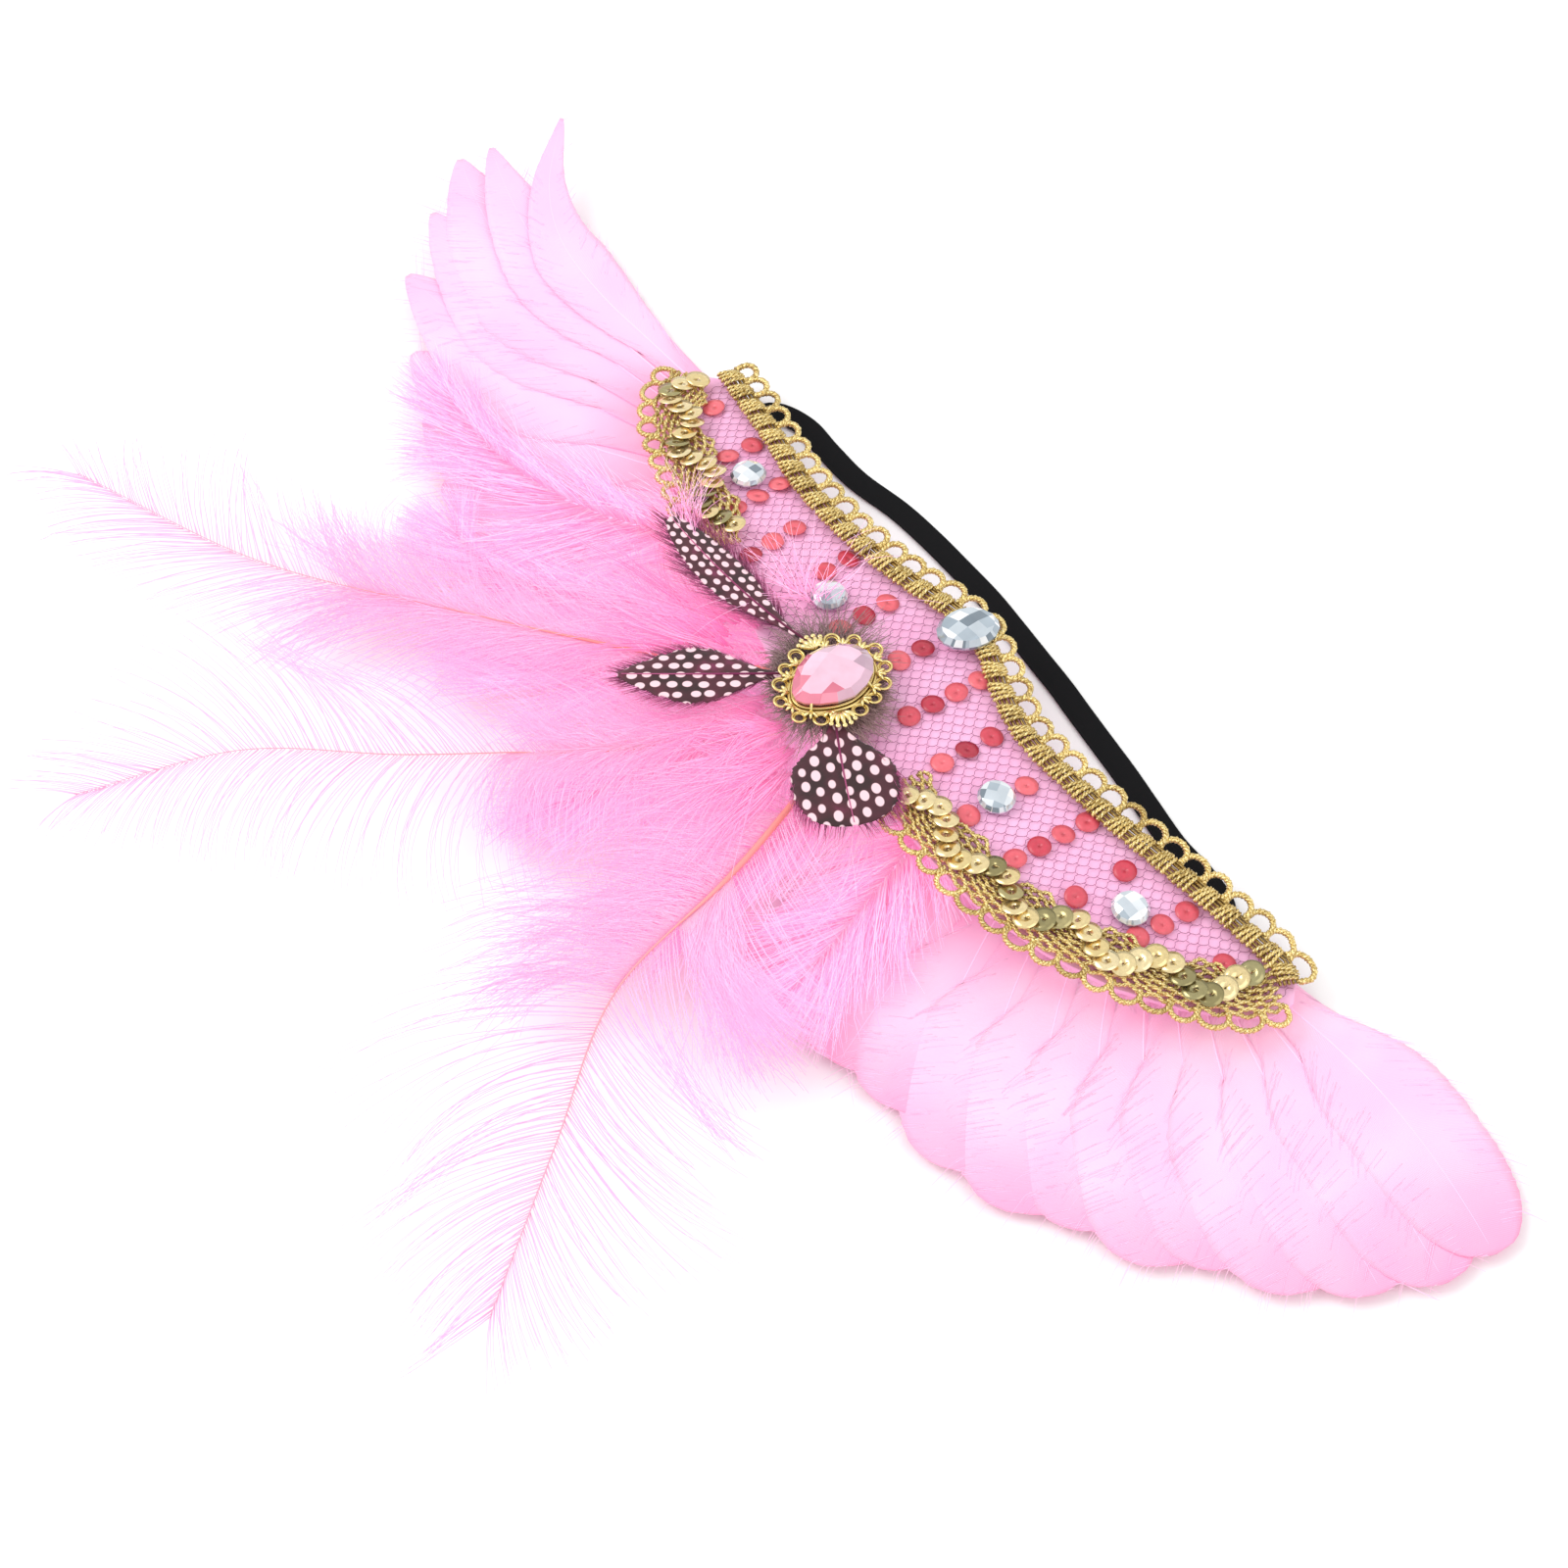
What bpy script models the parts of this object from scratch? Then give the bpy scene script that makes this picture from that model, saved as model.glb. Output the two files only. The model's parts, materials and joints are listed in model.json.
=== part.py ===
# Carnival headband: an arched net-covered panel with gold trims, stones, a brooch, feathers and an elastic.
# Lengths in the tables are millimetres; MM turns them into metres. X runs along the panel, Y to the
# feather side, Z up out of the panel's front. The band lies on its back on the floor at Z = 0.
import math

import bmesh
import bpy
import numpy as np

for old in list(bpy.data.objects):
    bpy.data.objects.remove(old, do_unlink=True)

MM = 0.001
GAP = 0.3                 # clearance kept between pieces that touch

# panel
PANEL_RISE = 18.5         # height of the panel's underside at its middle
PANEL_RADIUS = 650.0      # arch of the panel along its length
PANEL_LEAN = 0.052        # slope of the panel, higher on the feather side
LEAN_LINE = 25.0          # the line of the panel that the slope turns about
PANEL_THICK = 2.0
NET_THICK = 0.6
RED_RISE = 0.3            # how far the red sequins stand on the net
SEQUIN_RADIUS = 3.0

# trims
BRAID_THICK = 1.8
LOWER_WIDTH = 6.6
LOWER_SET = -1.2          # how far the forehead braid's middle lies from its line, minus for the panel side
LOWER_REACH = 3.6         # how far its loops stand out
UPPER_WIDTH = 9.9
UPPER_SET = -0.6
UPPER_REACH = 4.2
LOOP_PITCH = 7.2
LOOP_WIRE = 1.1
GOLD_THICK = 0.5
GOLD_STEP = 4.5
GOLD_PASS = 0.55          # height between one gold sequin and the next that it laps over
GOLD_TILT = (GOLD_THICK + GOLD_PASS) / GOLD_STEP

# feathers
VANE_THICK = 0.8
SHINGLE = 1.4             # drop from one overlapping feather to the next
FLOOR_LAYER = 3.4         # middle height of the feathers that lie on the floor
TUFT_LAYER = 5.8
PLUME_LAYER = 8.6
PLUME_STEP = 1.5
ROOT_CLEAR = 2.0          # from the middle of a goose quill's root to the panel's back

# elastic
ELASTIC_WIDTH = 8.0
ELASTIC_THICK = 1.2

# Panel outline: one row per station. x, forehead edge y, feather edge y
PANEL = (
    (131.0, 5.0, 14.0),
    (126.0, 0.5, 23.0),
    (112.0, 2.5, 33.0),
    (95.0, 6.0, 39.0),
    (76.0, 10.5, 45.0),
    (58.0, 12.0, 50.0),
    (42.0, 11.5, 54.0),
    (28.0, 9.5, 57.0),
    (17.0, 7.0, 58.5),
    (6.0, 5.5, 59.5),
    (-5.0, 8.0, 60.0),
    (-17.0, 13.0, 60.5),
    (-32.0, 16.5, 61.0),
    (-48.0, 15.5, 61.5),
    (-64.0, 13.5, 60.0),
    (-84.0, 9.5, 54.0),
    (-102.0, 6.0, 45.0),
    (-116.0, 3.5, 33.0),
    (-125.0, 4.0, 22.0),
    (-129.0, 8.0, 15.0),
)

# Centre line of the feather-edge braid on each side: x, y
BRAID_LEFT = ((134.0, 10.0), (129.0, 19.0), (120.0, 26.0), (108.0, 31.5), (95.0, 36.0), (82.0, 41.0),
              (69.0, 45.5))
BRAID_RIGHT = ((-24.0, 57.0), (-36.0, 58.0), (-50.0, 57.5), (-62.0, 56.5), (-76.0, 53.0), (-90.0, 46.5),
               (-102.0, 39.5), (-113.0, 31.0), (-122.0, 21.0), (-124.8, 13.2))
WAVE_LENGTH = 24.6
WAVE_SWING = 4.4          # depth of the scallops on the panel side of the feather-edge braids
STRING_SET = 2.8          # how far the sequin string runs inside the braid's centre line
STRING_SWING = 3.6

# Round clear stones: x, y, radius, height
ROUND_STONES = ((88.0, 22.0, 5.0, 3.4), (37.0, 32.0, 5.0, 3.4), (-42.0, 36.5, 5.0, 3.4), (-87.0, 28.0, 5.0, 3.4))
# Oval stone: x, y, half length, half width, height, turn in degrees
OVAL_STONE = (4.4, 10.3, 8.6, 6.6, 5.0, 75.0)
# Brooch: x, y of its middle, half length, half width, turn of its long axis in degrees
BROOCH = (9.0, 52.0, 12.5, 9.0, 97.0)

# Rows of red sequins: x, y of the first, count, step x, step y
RED_ROWS = (
    (118.0, 12.5, 1, 0.2, -7.6),
    (98.5, 21.5, 2, -0.5, -8.0),
    (80.0, 32.0, 3, 0.2, -7.6),
    (62.5, 39.5, 3, 0.6, -7.8),
    (45.5, 27.0, 2, 0.0, -8.0),
    (26.5, 36.0, 3, 0.0, -7.9),
    (8.5, 30.0, 2, -0.2, -7.8),
    (-8.0, 39.2, 4, -0.3, -7.6),
    (-25.0, 41.2, 3, -0.2, -8.0),
    (-42.0, 45.6, 1, 0.0, -8.0),
    (-42.8, 27.2, 1, 0.0, -8.0),
    (-59.0, 43.6, 4, -0.4, -7.6),
    (-76.4, 37.4, 1, -0.3, -7.6),
    (-77.0, 21.8, 1, -0.3, -7.6),
    (-94.0, 31.2, 3, -0.4, -7.8),
    (-111.6, 16.8, 1, 0.0, -8.0),
)

# Goose feathers: root x, root y, bend x, bend y, tip x, tip y, half width, tip lift
GOOSE_LEFT = (
    (127.0, 7.0, 178.0, -3.0, 230.0, -12.0, 12.0, 16.0),
    (127.0, 11.0, 186.0, 9.0, 235.0, 6.0, 13.0, 12.0),
    (125.0, 15.5, 186.0, 19.0, 239.0, 16.0, 14.0, 9.0),
    (121.0, 20.0, 176.0, 30.5, 228.0, 33.0, 15.0, 6.0),
    (115.0, 23.0, 161.0, 42.5, 214.0, 53.0, 15.5, 3.0),
    (104.0, 28.0, 147.0, 53.5, 190.0, 67.0, 17.0, 0.0),
    (95.5, 31.0, 134.0, 61.0, 168.0, 77.0, 19.0, 0.0),
    (87.0, 34.0, 118.0, 66.5, 144.0, 87.0, 19.0, 0.0),
    (79.0, 35.0, 101.0, 70.0, 119.0, 96.0, 19.0, 0.0),
    (68.0, 38.0, 82.0, 72.0, 93.0, 103.0, 19.0, 0.0),
)
GOOSE_RIGHT = (
    (-118.0, 9.0, -164.0, 6.0, -212.0, 14.0, 17.0, 0.0),
    (-118.0, 14.0, -163.0, 19.0, -211.0, 29.0, 18.0, 0.0),
    (-116.0, 19.0, -160.0, 32.0, -204.0, 43.0, 19.0, 0.0),
    (-113.0, 24.0, -153.0, 43.0, -194.0, 55.0, 20.0, 0.0),
    (-108.0, 29.0, -145.0, 52.0, -182.0, 67.0, 20.0, 0.0),
    (-102.0, 34.0, -135.0, 60.0, -169.0, 78.0, 20.0, 0.0),
    (-94.0, 39.0, -123.0, 67.0, -154.0, 87.0, 21.0, 0.0),
    (-84.0, 43.0, -109.0, 73.0, -138.0, 97.0, 21.0, 0.0),
    (-73.0, 46.0, -94.0, 77.0, -119.0, 103.0, 21.0, 0.0),
    (-61.0, 48.0, -78.0, 79.0, -97.0, 107.0, 20.0, 0.0),
    (-48.0, 49.0, -61.0, 81.0, -74.0, 111.0, 20.0, 0.0),
    (-34.0, 50.0, -43.0, 83.0, -50.0, 115.0, 19.0, 0.0),
)
# Loose pink tufts: root x, root y, bend x, bend y, tip x, tip y, half width, locks each side
TUFTS = (
    (69.0, 32.0, 116.0, 66.0, 166.0, 70.0, 20.0, 7),
    (50.0, 37.0, 86.0, 84.0, 124.0, 96.0, 20.0, 6),
    (31.0, 41.0, 55.0, 86.0, 78.0, 112.0, 20.0, 5),
    (12.0, 44.0, 22.0, 88.0, 30.0, 124.0, 21.0, 5),
    (-11.0, 44.0, -14.0, 90.0, -16.0, 127.0, 20.0, 5),
    (-32.0, 45.0, -44.0, 82.0, -52.0, 108.0, 18.0, 5),
)
# Ostrich plumes: five points of the quill, half width at the middle, locks each side
PLUMES = (
    ((26.0, 54.0), (60.0, 82.0), (98.0, 112.0), (144.0, 146.0), (200.0, 170.0), 34.0, 10),
    ((10.0, 55.0), (34.0, 103.0), (63.0, 148.0), (91.0, 184.0), (104.0, 226.0), 36.0, 10),
    ((-3.0, 56.0), (-18.0, 104.0), (-30.0, 148.0), (-58.0, 185.0), (-88.0, 224.0), 38.0, 10),
)
# Spotted feathers: root x, root y, bend x, bend y, tip x, tip y, half width
SPOTTED = (
    (17.0, 58.0, 31.0, 77.0, 45.0, 95.0, 8.5),
    (22.0, 48.0, 50.0, 52.0, 84.0, 51.0, 6.5),
    (1.0, 57.0, -11.0, 68.0, -27.0, 79.0, 14.0),
)
# Elastic: x, y, height of its underside as a share of the height of the panel's back there
ELASTIC = (
    (104.0, 12.0, 0.78), (111.5, 4.5, 0.58), (112.5, -4.5, 0.14), (104.0, -8.8, 0.0), (92.5, -8.6, 0.0),
    (79.0, -8.8, 0.0), (63.5, -11.6, 0.0), (50.0, -12.6, 0.0), (37.0, -12.8, 0.0), (24.0, -12.8, 0.0),
    (12.0, -11.9, 0.0), (0.0, -10.8, 0.0), (-11.5, -9.8, 0.0), (-22.6, -8.3, 0.0), (-33.7, -6.9, 0.0),
    (-44.8, -5.5, 0.0), (-56.0, -3.7, 0.0), (-70.0, -1.6, 0.0), (-82.0, -1.4, 0.0), (-92.0, 0.6, 0.07),
    (-98.0, 7.0, 0.51), (-95.0, 14.5, 0.84),
)


def smooth(t):
    t = np.clip(t, 0.0, 1.0)
    return t * t * (3.0 - 2.0 * t)


def panel_under(x, y):
    return PANEL_RISE - x * x / (2.0 * PANEL_RADIUS) + (y - LEAN_LINE) * PANEL_LEAN


PANEL_X = np.array([row[0] for row in PANEL])[::-1]
PANEL_LOW = np.array([row[1] for row in PANEL])[::-1]
PANEL_HIGH = np.array([row[2] for row in PANEL])[::-1]


def feather_edge(x):
    return np.interp(x, PANEL_X, PANEL_HIGH)


def bed(x, y):
    """Middle height of the lowest feather layer."""
    edge = feather_edge(x)
    middle = 1.0 - smooth((abs(x) - 30.0) / 45.0)
    at_edge = panel_under(np.clip(x, -129.0, 131.0), edge) - 3.2
    at_edge = min(max(at_edge, 2.2), 3.4 + 3.6 * middle)
    away = math.hypot(max(0.0, abs(x) - 125.0), max(0.0, y - edge))
    level = FLOOR_LAYER + (at_edge - FLOOR_LAYER) * (1.0 - smooth(away / 40.0))
    # under the panel's outer parts the quills climb to its back
    inside = min(edge - y, 129.0 - abs(x))
    climb = smooth((inside - 2.0) / 8.0) * smooth((abs(x) - 78.0) / 14.0)
    return level + climb * max(0.0, panel_under(x, y) - ROOT_CLEAR - level)


def bezier(points, t):
    """A smooth line through three or five control points."""
    pts = np.array(points, float)
    if len(pts) == 3:
        mid = 2.0 * pts[1] - 0.5 * (pts[0] + pts[2])
        return (1 - t) ** 2 * pts[0] + 2 * t * (1 - t) * mid + t * t * pts[2]
    span = t * (len(pts) - 1)
    k = min(int(span), len(pts) - 2)
    f = span - k
    a = pts[max(k - 1, 0)] if k > 0 else 2 * pts[0] - pts[1]
    d = pts[k + 2] if k + 2 < len(pts) else 2 * pts[-1] - pts[-2]
    b, c = pts[k], pts[k + 1]
    return 0.5 * (2 * b + (c - a) * f + (2 * a - 5 * b + 4 * c - d) * f * f
                  + (3 * b - a - 3 * c + d) * f ** 3)


def tangent(points, t):
    step = 1e-3
    v = bezier(points, min(1.0, t + step)) - bezier(points, max(0.0, t - step))
    return v / np.linalg.norm(v)


def even_points(points, count):
    """Points at even steps of length along a smooth line."""
    fine = np.array([bezier(points, t) for t in np.linspace(0, 1, 400)])
    run = np.concatenate([[0], np.cumsum(np.linalg.norm(np.diff(fine, axis=0), axis=1))])
    want = np.linspace(0, run[-1], count)
    return np.stack([np.interp(want, run, fine[:, i]) for i in range(fine.shape[1])], 1), run[-1]


def make_material(name, color, rough, metal=0.0):
    mat = bpy.data.materials.new(name)
    mat.use_nodes = True
    shader = mat.node_tree.nodes["Principled BSDF"]
    shader.inputs["Base Color"].default_value = (*color, 1.0)
    shader.inputs["Roughness"].default_value = rough
    shader.inputs["Metallic"].default_value = metal
    return mat


SATIN = make_material("pink_satin", (0.93, 0.50, 0.70), 0.55)
NETTING = make_material("mauve_net", (0.80, 0.35, 0.50), 0.6)
GOLD_THREAD = make_material("gold_thread", (0.80, 0.60, 0.25), 0.4, 1.0)
GOLD_SEQUIN = make_material("gold_sequin", (0.90, 0.74, 0.38), 0.25, 1.0)
FILIGREE = make_material("gold_filigree", (0.90, 0.72, 0.30), 0.3, 1.0)
CLEAR_STONE = make_material("clear_acrylic", (0.85, 0.90, 0.95), 0.05)
PINK_STONE = make_material("pink_acrylic", (0.95, 0.55, 0.70), 0.05)
PALE_FEATHER = make_material("pale_pink_feather", (0.98, 0.72, 0.88), 0.7)
PINK_FEATHER = make_material("bright_pink_feather", (0.97, 0.45, 0.75), 0.75)
PLUME_PINK = make_material("plume_pink", (0.95, 0.52, 0.80), 0.75)
SPOTTED_MAT = make_material("spotted_feather", (0.20, 0.07, 0.09), 0.7)
DOWN_MAT = make_material("brown_down", (0.42, 0.30, 0.30), 0.85)
ELASTIC_MAT = make_material("black_elastic", (0.02, 0.02, 0.02), 0.8)


def add_object(name, verts, faces, material, smooth_shade=False):
    mesh = bpy.data.meshes.new(name)
    mesh.from_pydata([tuple(float(c) * MM for c in v) for v in verts], [], faces)
    mesh.update()
    work = bmesh.new()
    work.from_mesh(mesh)
    bmesh.ops.recalc_face_normals(work, faces=work.faces)
    work.to_mesh(mesh)
    work.free()
    mesh.materials.append(material)
    if smooth_shade:
        mesh.shade_smooth()
        mesh.set_sharp_from_angle(angle=math.radians(35))
    obj = bpy.data.objects.new(name, mesh)
    bpy.context.scene.collection.objects.link(obj)
    return obj


def thicken(verts, faces, thick):
    """Close a sheet: verts lie on its lower side, thick is one number or one number per vertex."""
    n = len(verts)
    rise = np.broadcast_to(np.asarray(thick, float), (n,))
    base = [tuple(v) for v in verts]
    top = [(v[0], v[1], v[2] + rise[i]) for i, v in enumerate(verts)]
    edges = {}
    for f in faces:
        for a, b in zip(f, f[1:] + f[:1]):
            edges[(a, b)] = edges.get((a, b), 0) + 1
    out = [tuple(reversed(f)) for f in faces] + [tuple(i + n for i in f) for f in faces]
    for (a, b) in edges:
        if (b, a) not in edges:
            out.append((a, b, b + n, a + n))
    return base + top, out


def sheet_grid(rows):
    """Quads over rows of equally many points."""
    verts = [p for row in rows for p in row]
    wide = len(rows[0])
    faces = []
    for i in range(len(rows) - 1):
        for j in range(wide - 1):
            a = i * wide + j
            faces.append((a, a + wide, a + wide + 1, a + 1))
    return verts, faces


# Panel and net
def panel_rows(inset, lift):
    rows = []
    for x, low, high in PANEL:
        rows.append([(x, y, panel_under(x, y) + lift)
                     for y in np.linspace(low + inset, high - inset, 4)])
    return rows


verts, faces = sheet_grid(panel_rows(0.0, 0.0))
add_object("band_panel", *thicken(verts, faces, PANEL_THICK), SATIN)

NET_LIFT = PANEL_THICK + GAP
verts, faces = sheet_grid(panel_rows(1.0, NET_LIFT))
net = add_object("sequin_net", *thicken(verts, faces, NET_THICK), NETTING)


def disc(x, y, z, radius, thick, sides, slope_x, slope_y, spin=0.0):
    verts = []
    for level in (0.0, thick):
        for k in range(sides):
            a = spin + 2 * math.pi * k / sides
            px, py = radius * math.cos(a), radius * math.sin(a)
            verts.append((x + px, y + py, z + level + slope_x * px + slope_y * py))
    faces = [tuple(reversed(range(sides))), tuple(range(sides, 2 * sides))]
    faces += [(k, (k + 1) % sides, (k + 1) % sides + sides, k + sides) for k in range(sides)]
    return verts, faces


def join_shapes(shapes):
    verts, faces = [], []
    for v, f in shapes:
        start = len(verts)
        verts += list(v)
        faces += [tuple(i + start for i in face) for face in f]
    return verts, faces


def fuse(target, name, shapes, self_use):
    tool = add_object(name, *join_shapes(shapes), GOLD_SEQUIN)
    tool.hide_render = True
    tool.display_type = "WIRE"
    mod = target.modifiers.new(name, "BOOLEAN")
    mod.operation = "UNION"
    mod.solver = "EXACT"
    mod.use_self = self_use
    mod.object = tool
    evaluated = target.evaluated_get(bpy.context.evaluated_depsgraph_get())
    mesh = bpy.data.meshes.new_from_object(evaluated)
    target.modifiers.clear()
    target.data = mesh
    bpy.data.objects.remove(tool, do_unlink=True)


red_discs = []
for x0, y0, count, dx, dy in RED_ROWS:
    for k in range(count):
        x, y = x0 + k * dx, y0 + k * dy
        z = panel_under(x, y) + NET_LIFT + NET_THICK * 0.5
        red_discs.append(disc(x, y, z, SEQUIN_RADIUS, NET_THICK * 0.5 + RED_RISE, 7,
                              -x / PANEL_RADIUS, PANEL_LEAN, 0.2))
fuse(net, "red_sequins_tool", red_discs, False)


# Looped braids
BRAID_LIFT = NET_LIFT + NET_THICK + RED_RISE + GAP


def looped_braid(points, width, pitch, reach, wire, side, lift, middle=0.0, closed=False, wave=None,
                 height=None):
    """A flat braid along a line with a row of wire loops on one side, all in one sheet."""
    n_loops = max(3, int(round(points[1] / pitch)))
    line = points[0]
    per = 4
    count = n_loops * per + (0 if closed else 1)
    run = np.concatenate([[0], np.cumsum(np.linalg.norm(np.diff(line, axis=0), axis=1))])
    marks = []
    cell = run[-1] / n_loops
    for k in range(n_loops):
        for f in (0.10, 0.10 + wire / cell, 0.90 - wire / cell, 0.90):
            marks.append((k + f) * cell)
    if not closed:
        marks = [0.0] + marks + [run[-1]]
    verts, inner, outer = [], [], []
    outer_w = middle + width * 0.5

    def at(s, w):
        s = s % run[-1] if closed else min(max(s, 0.0), run[-1])
        p = np.array([np.interp(s, run, line[:, i]) for i in range(2)])
        e = 0.6
        s1 = (s + e) % run[-1] if closed else min(s + e, run[-1])
        s0 = (s - e) % run[-1] if closed else max(s - e, 0.0)
        q1 = np.array([np.interp(s1, run, line[:, i]) for i in range(2)])
        q0 = np.array([np.interp(s0, run, line[:, i]) for i in range(2)])
        t = (q1 - q0) / np.linalg.norm(q1 - q0)
        nrm = np.array([-t[1], t[0]]) * side
        q = p + nrm * w
        return q[0], q[1], (panel_under(q[0], q[1]) + lift if height is None else height(q[0], q[1]))

    for s in marks:
        inner_w = middle - width * 0.5 - (wave(s) if wave else 0.0)
        inner.append(len(verts))
        verts.append(at(s, inner_w))
        outer.append(len(verts))
        verts.append(at(s, outer_w))
    faces = []
    total = len(marks)
    for k in range(total if closed else total - 1):
        m = (k + 1) % total
        faces.append((inner[k], inner[m], outer[m], outer[k]))
    for k in range(n_loops):
        base = k * per + (0 if closed else 1)
        o = [outer[(base + j) % total] for j in range(4)]
        mid = (k + 0.5) * cell
        out_r, in_r = 0.40 * cell, 0.40 * cell - wire
        ring_o, ring_i = [o[0]], [o[1]]
        steps = 4
        for j in range(1, steps):
            a = math.pi * (1 - j / steps)
            bulge = 1.12
            ring_o.append(len(verts))
            verts.append(at(mid + bulge * out_r * math.cos(a), outer_w + reach * math.sin(a)))
            ring_i.append(len(verts))
            verts.append(at(mid + bulge * in_r * math.cos(a), outer_w + (reach - wire) * math.sin(a)))
        ring_o.append(o[3])
        ring_i.append(o[2])
        for j in range(steps):
            faces.append((ring_o[j], ring_i[j], ring_i[j + 1], ring_o[j + 1]))
    return verts, faces


def orient(verts, faces):
    """Turn every face of a sheet so that it is counter-clockwise seen from above."""
    out = []
    for f in faces:
        p = [verts[i] for i in f]
        area = sum(p[i][0] * p[(i + 1) % len(p)][1] - p[(i + 1) % len(p)][0] * p[i][1] for i in range(len(p)))
        out.append(tuple(f) if area > 0 else tuple(reversed(f)))
    return out


FOREHEAD = [(x, low + 0.6) for x, low, high in PANEL[1:-1]]
FOREHEAD = [(127.5, -0.4)] + FOREHEAD[1:-1] + [(-121.0, 3.6)]
low_line = even_points(FOREHEAD, 240)
verts, faces = looped_braid(low_line, LOWER_WIDTH, LOOP_PITCH, LOWER_REACH, LOOP_WIRE, 1.0, BRAID_LIFT,
                            LOWER_SET)
faces = orient(verts, faces)
add_object("lower_braid", *thicken(verts, faces, BRAID_THICK), GOLD_THREAD)


def scallop(s, phase):
    return WAVE_SWING * (0.5 + 0.5 * math.sin(2 * math.pi * s / WAVE_LENGTH + phase))


# each run starts at its outer or forehead end; the string's phase is its place in the wave there
TRIMS = (("left", BRAID_LEFT, 4.9, 3.0), ("right", BRAID_RIGHT, 1.0, 6.0))
for tag, table, phase, string_start in TRIMS:
    pts, length = even_points(table, 160)
    verts, faces = looped_braid((pts, length), UPPER_WIDTH, LOOP_PITCH, UPPER_REACH, LOOP_WIRE, -1.0,
                                BRAID_LIFT, UPPER_SET, wave=lambda s, phase=phase: scallop(s, phase))
    faces = orient(verts, faces)
    add_object("upper_braid_" + tag, *thicken(verts, faces, BRAID_THICK), GOLD_THREAD)
    # string of flat sequins that winds along the braid
    string_z = BRAID_LIFT + BRAID_THICK + GAP
    run = np.concatenate([[0], np.cumsum(np.linalg.norm(np.diff(pts, axis=0), axis=1))])
    shapes = []
    path = []
    s = string_start
    while s < length - 3.0:
        p = np.array([np.interp(s, run, pts[:, i]) for i in range(2)])
        q = np.array([np.interp(s + 0.5, run, pts[:, i]) for i in range(2)])
        t = (q - p) / np.linalg.norm(q - p)
        nrm = np.array([t[1], -t[0]])
        w = STRING_SWING * math.sin(2 * math.pi * s / WAVE_LENGTH + phase) - STRING_SET
        path.append(p + nrm * w)
        s += 0.8
    path = np.array(path)
    prun = np.concatenate([[0], np.cumsum(np.linalg.norm(np.diff(path, axis=0), axis=1))])
    marks = np.arange(0.0, prun[-1], GOLD_STEP)
    centres = [np.array([np.interp(m, prun, path[:, i]) for i in range(2)]) for m in marks]
    tape = []
    for k, c in enumerate(centres):
        q = centres[min(k + 1, len(centres) - 1)] - centres[max(k - 1, 0)]
        t = q / np.linalg.norm(q)
        nrm = np.array([-t[1], t[0]])
        z = panel_under(*c) + string_z + 0.1
        slope = -c[0] / PANEL_RADIUS
        shapes.append(disc(c[0], c[1], z + 0.75, SEQUIN_RADIUS, GOLD_THICK, 7,
                           slope + GOLD_TILT * t[0], PANEL_LEAN + GOLD_TILT * t[1], 0.3))
        a, b = c + nrm * 1.0, c - nrm * 1.0
        tape.append([(a[0], a[1], panel_under(*a) + string_z), (b[0], b[1], panel_under(*b) + string_z)])
    verts, faces = sheet_grid(tape)
    faces = orient(verts, faces)
    string = add_object("gold_sequins_" + tag, *thicken(verts, faces, 1.1), GOLD_SEQUIN)
    fuse(string, "gold_tool_" + tag, shapes, True)


# Stones
def cut_stone(outline, base, height, rows):
    """A flat-backed cut stone: rows are (scale of the outline, share of the height)."""
    centre = np.mean(outline, axis=0)
    verts = []
    n = len(outline)
    for scale, part in rows:
        for p in outline:
            q = centre + (p - centre) * scale
            verts.append((q[0], q[1], base(q[0], q[1]) + height * part))
    faces = [tuple(reversed(range(n)))]
    for r in range(len(rows) - 1):
        for k in range(n):
            a, b = r * n + k, r * n + (k + 1) % n
            faces.append((a, b, b + n, a + n))
    top = (len(rows) - 1) * n
    faces.append(tuple(range(top, top + n)))
    return verts, faces


STONE_CUT = ((0.94, 0.0), (1.0, 0.22), (0.86, 0.62), (0.56, 1.0))


def oval_outline(x, y, half_long, half_wide, turn, sides, point=0.0):
    """An oval, or with point above 0 a drop whose tip lies at the end of its long axis."""
    out = []
    c, s = math.cos(math.radians(turn)), math.sin(math.radians(turn))
    for k in range(sides):
        a = 2 * math.pi * k / sides
        u = half_long * math.cos(a)
        v = half_wide * math.sin(a) * (1.0 - point * max(0.0, math.cos(a)) ** 1.5)
        out.append((x + c * u - s * v, y + s * u + c * v))
    return np.array(out)


def flat_base(x0, y0, lift):
    level = panel_under(x0, y0) + lift

    def level_at(x, y):
        return level - (x - x0) * x0 / PANEL_RADIUS + (y - y0) * PANEL_LEAN
    return level_at


for number, (x, y, radius, height) in enumerate(ROUND_STONES, 1):
    base = flat_base(x, y, NET_LIFT + NET_THICK + GAP)
    ring = oval_outline(x, y, radius, radius, 15.0, 12)
    add_object("clear_stone_%d" % number, *cut_stone(ring, base, height, STONE_CUT), CLEAR_STONE)

x, y, half_long, half_wide, height, turn = OVAL_STONE
base = flat_base(x, y, BRAID_LIFT + BRAID_THICK + GAP)
ring = oval_outline(x, y, half_long, half_wide, turn, 16)
add_object("centre_stone", *cut_stone(ring, base, height, STONE_CUT), CLEAR_STONE)

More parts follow.
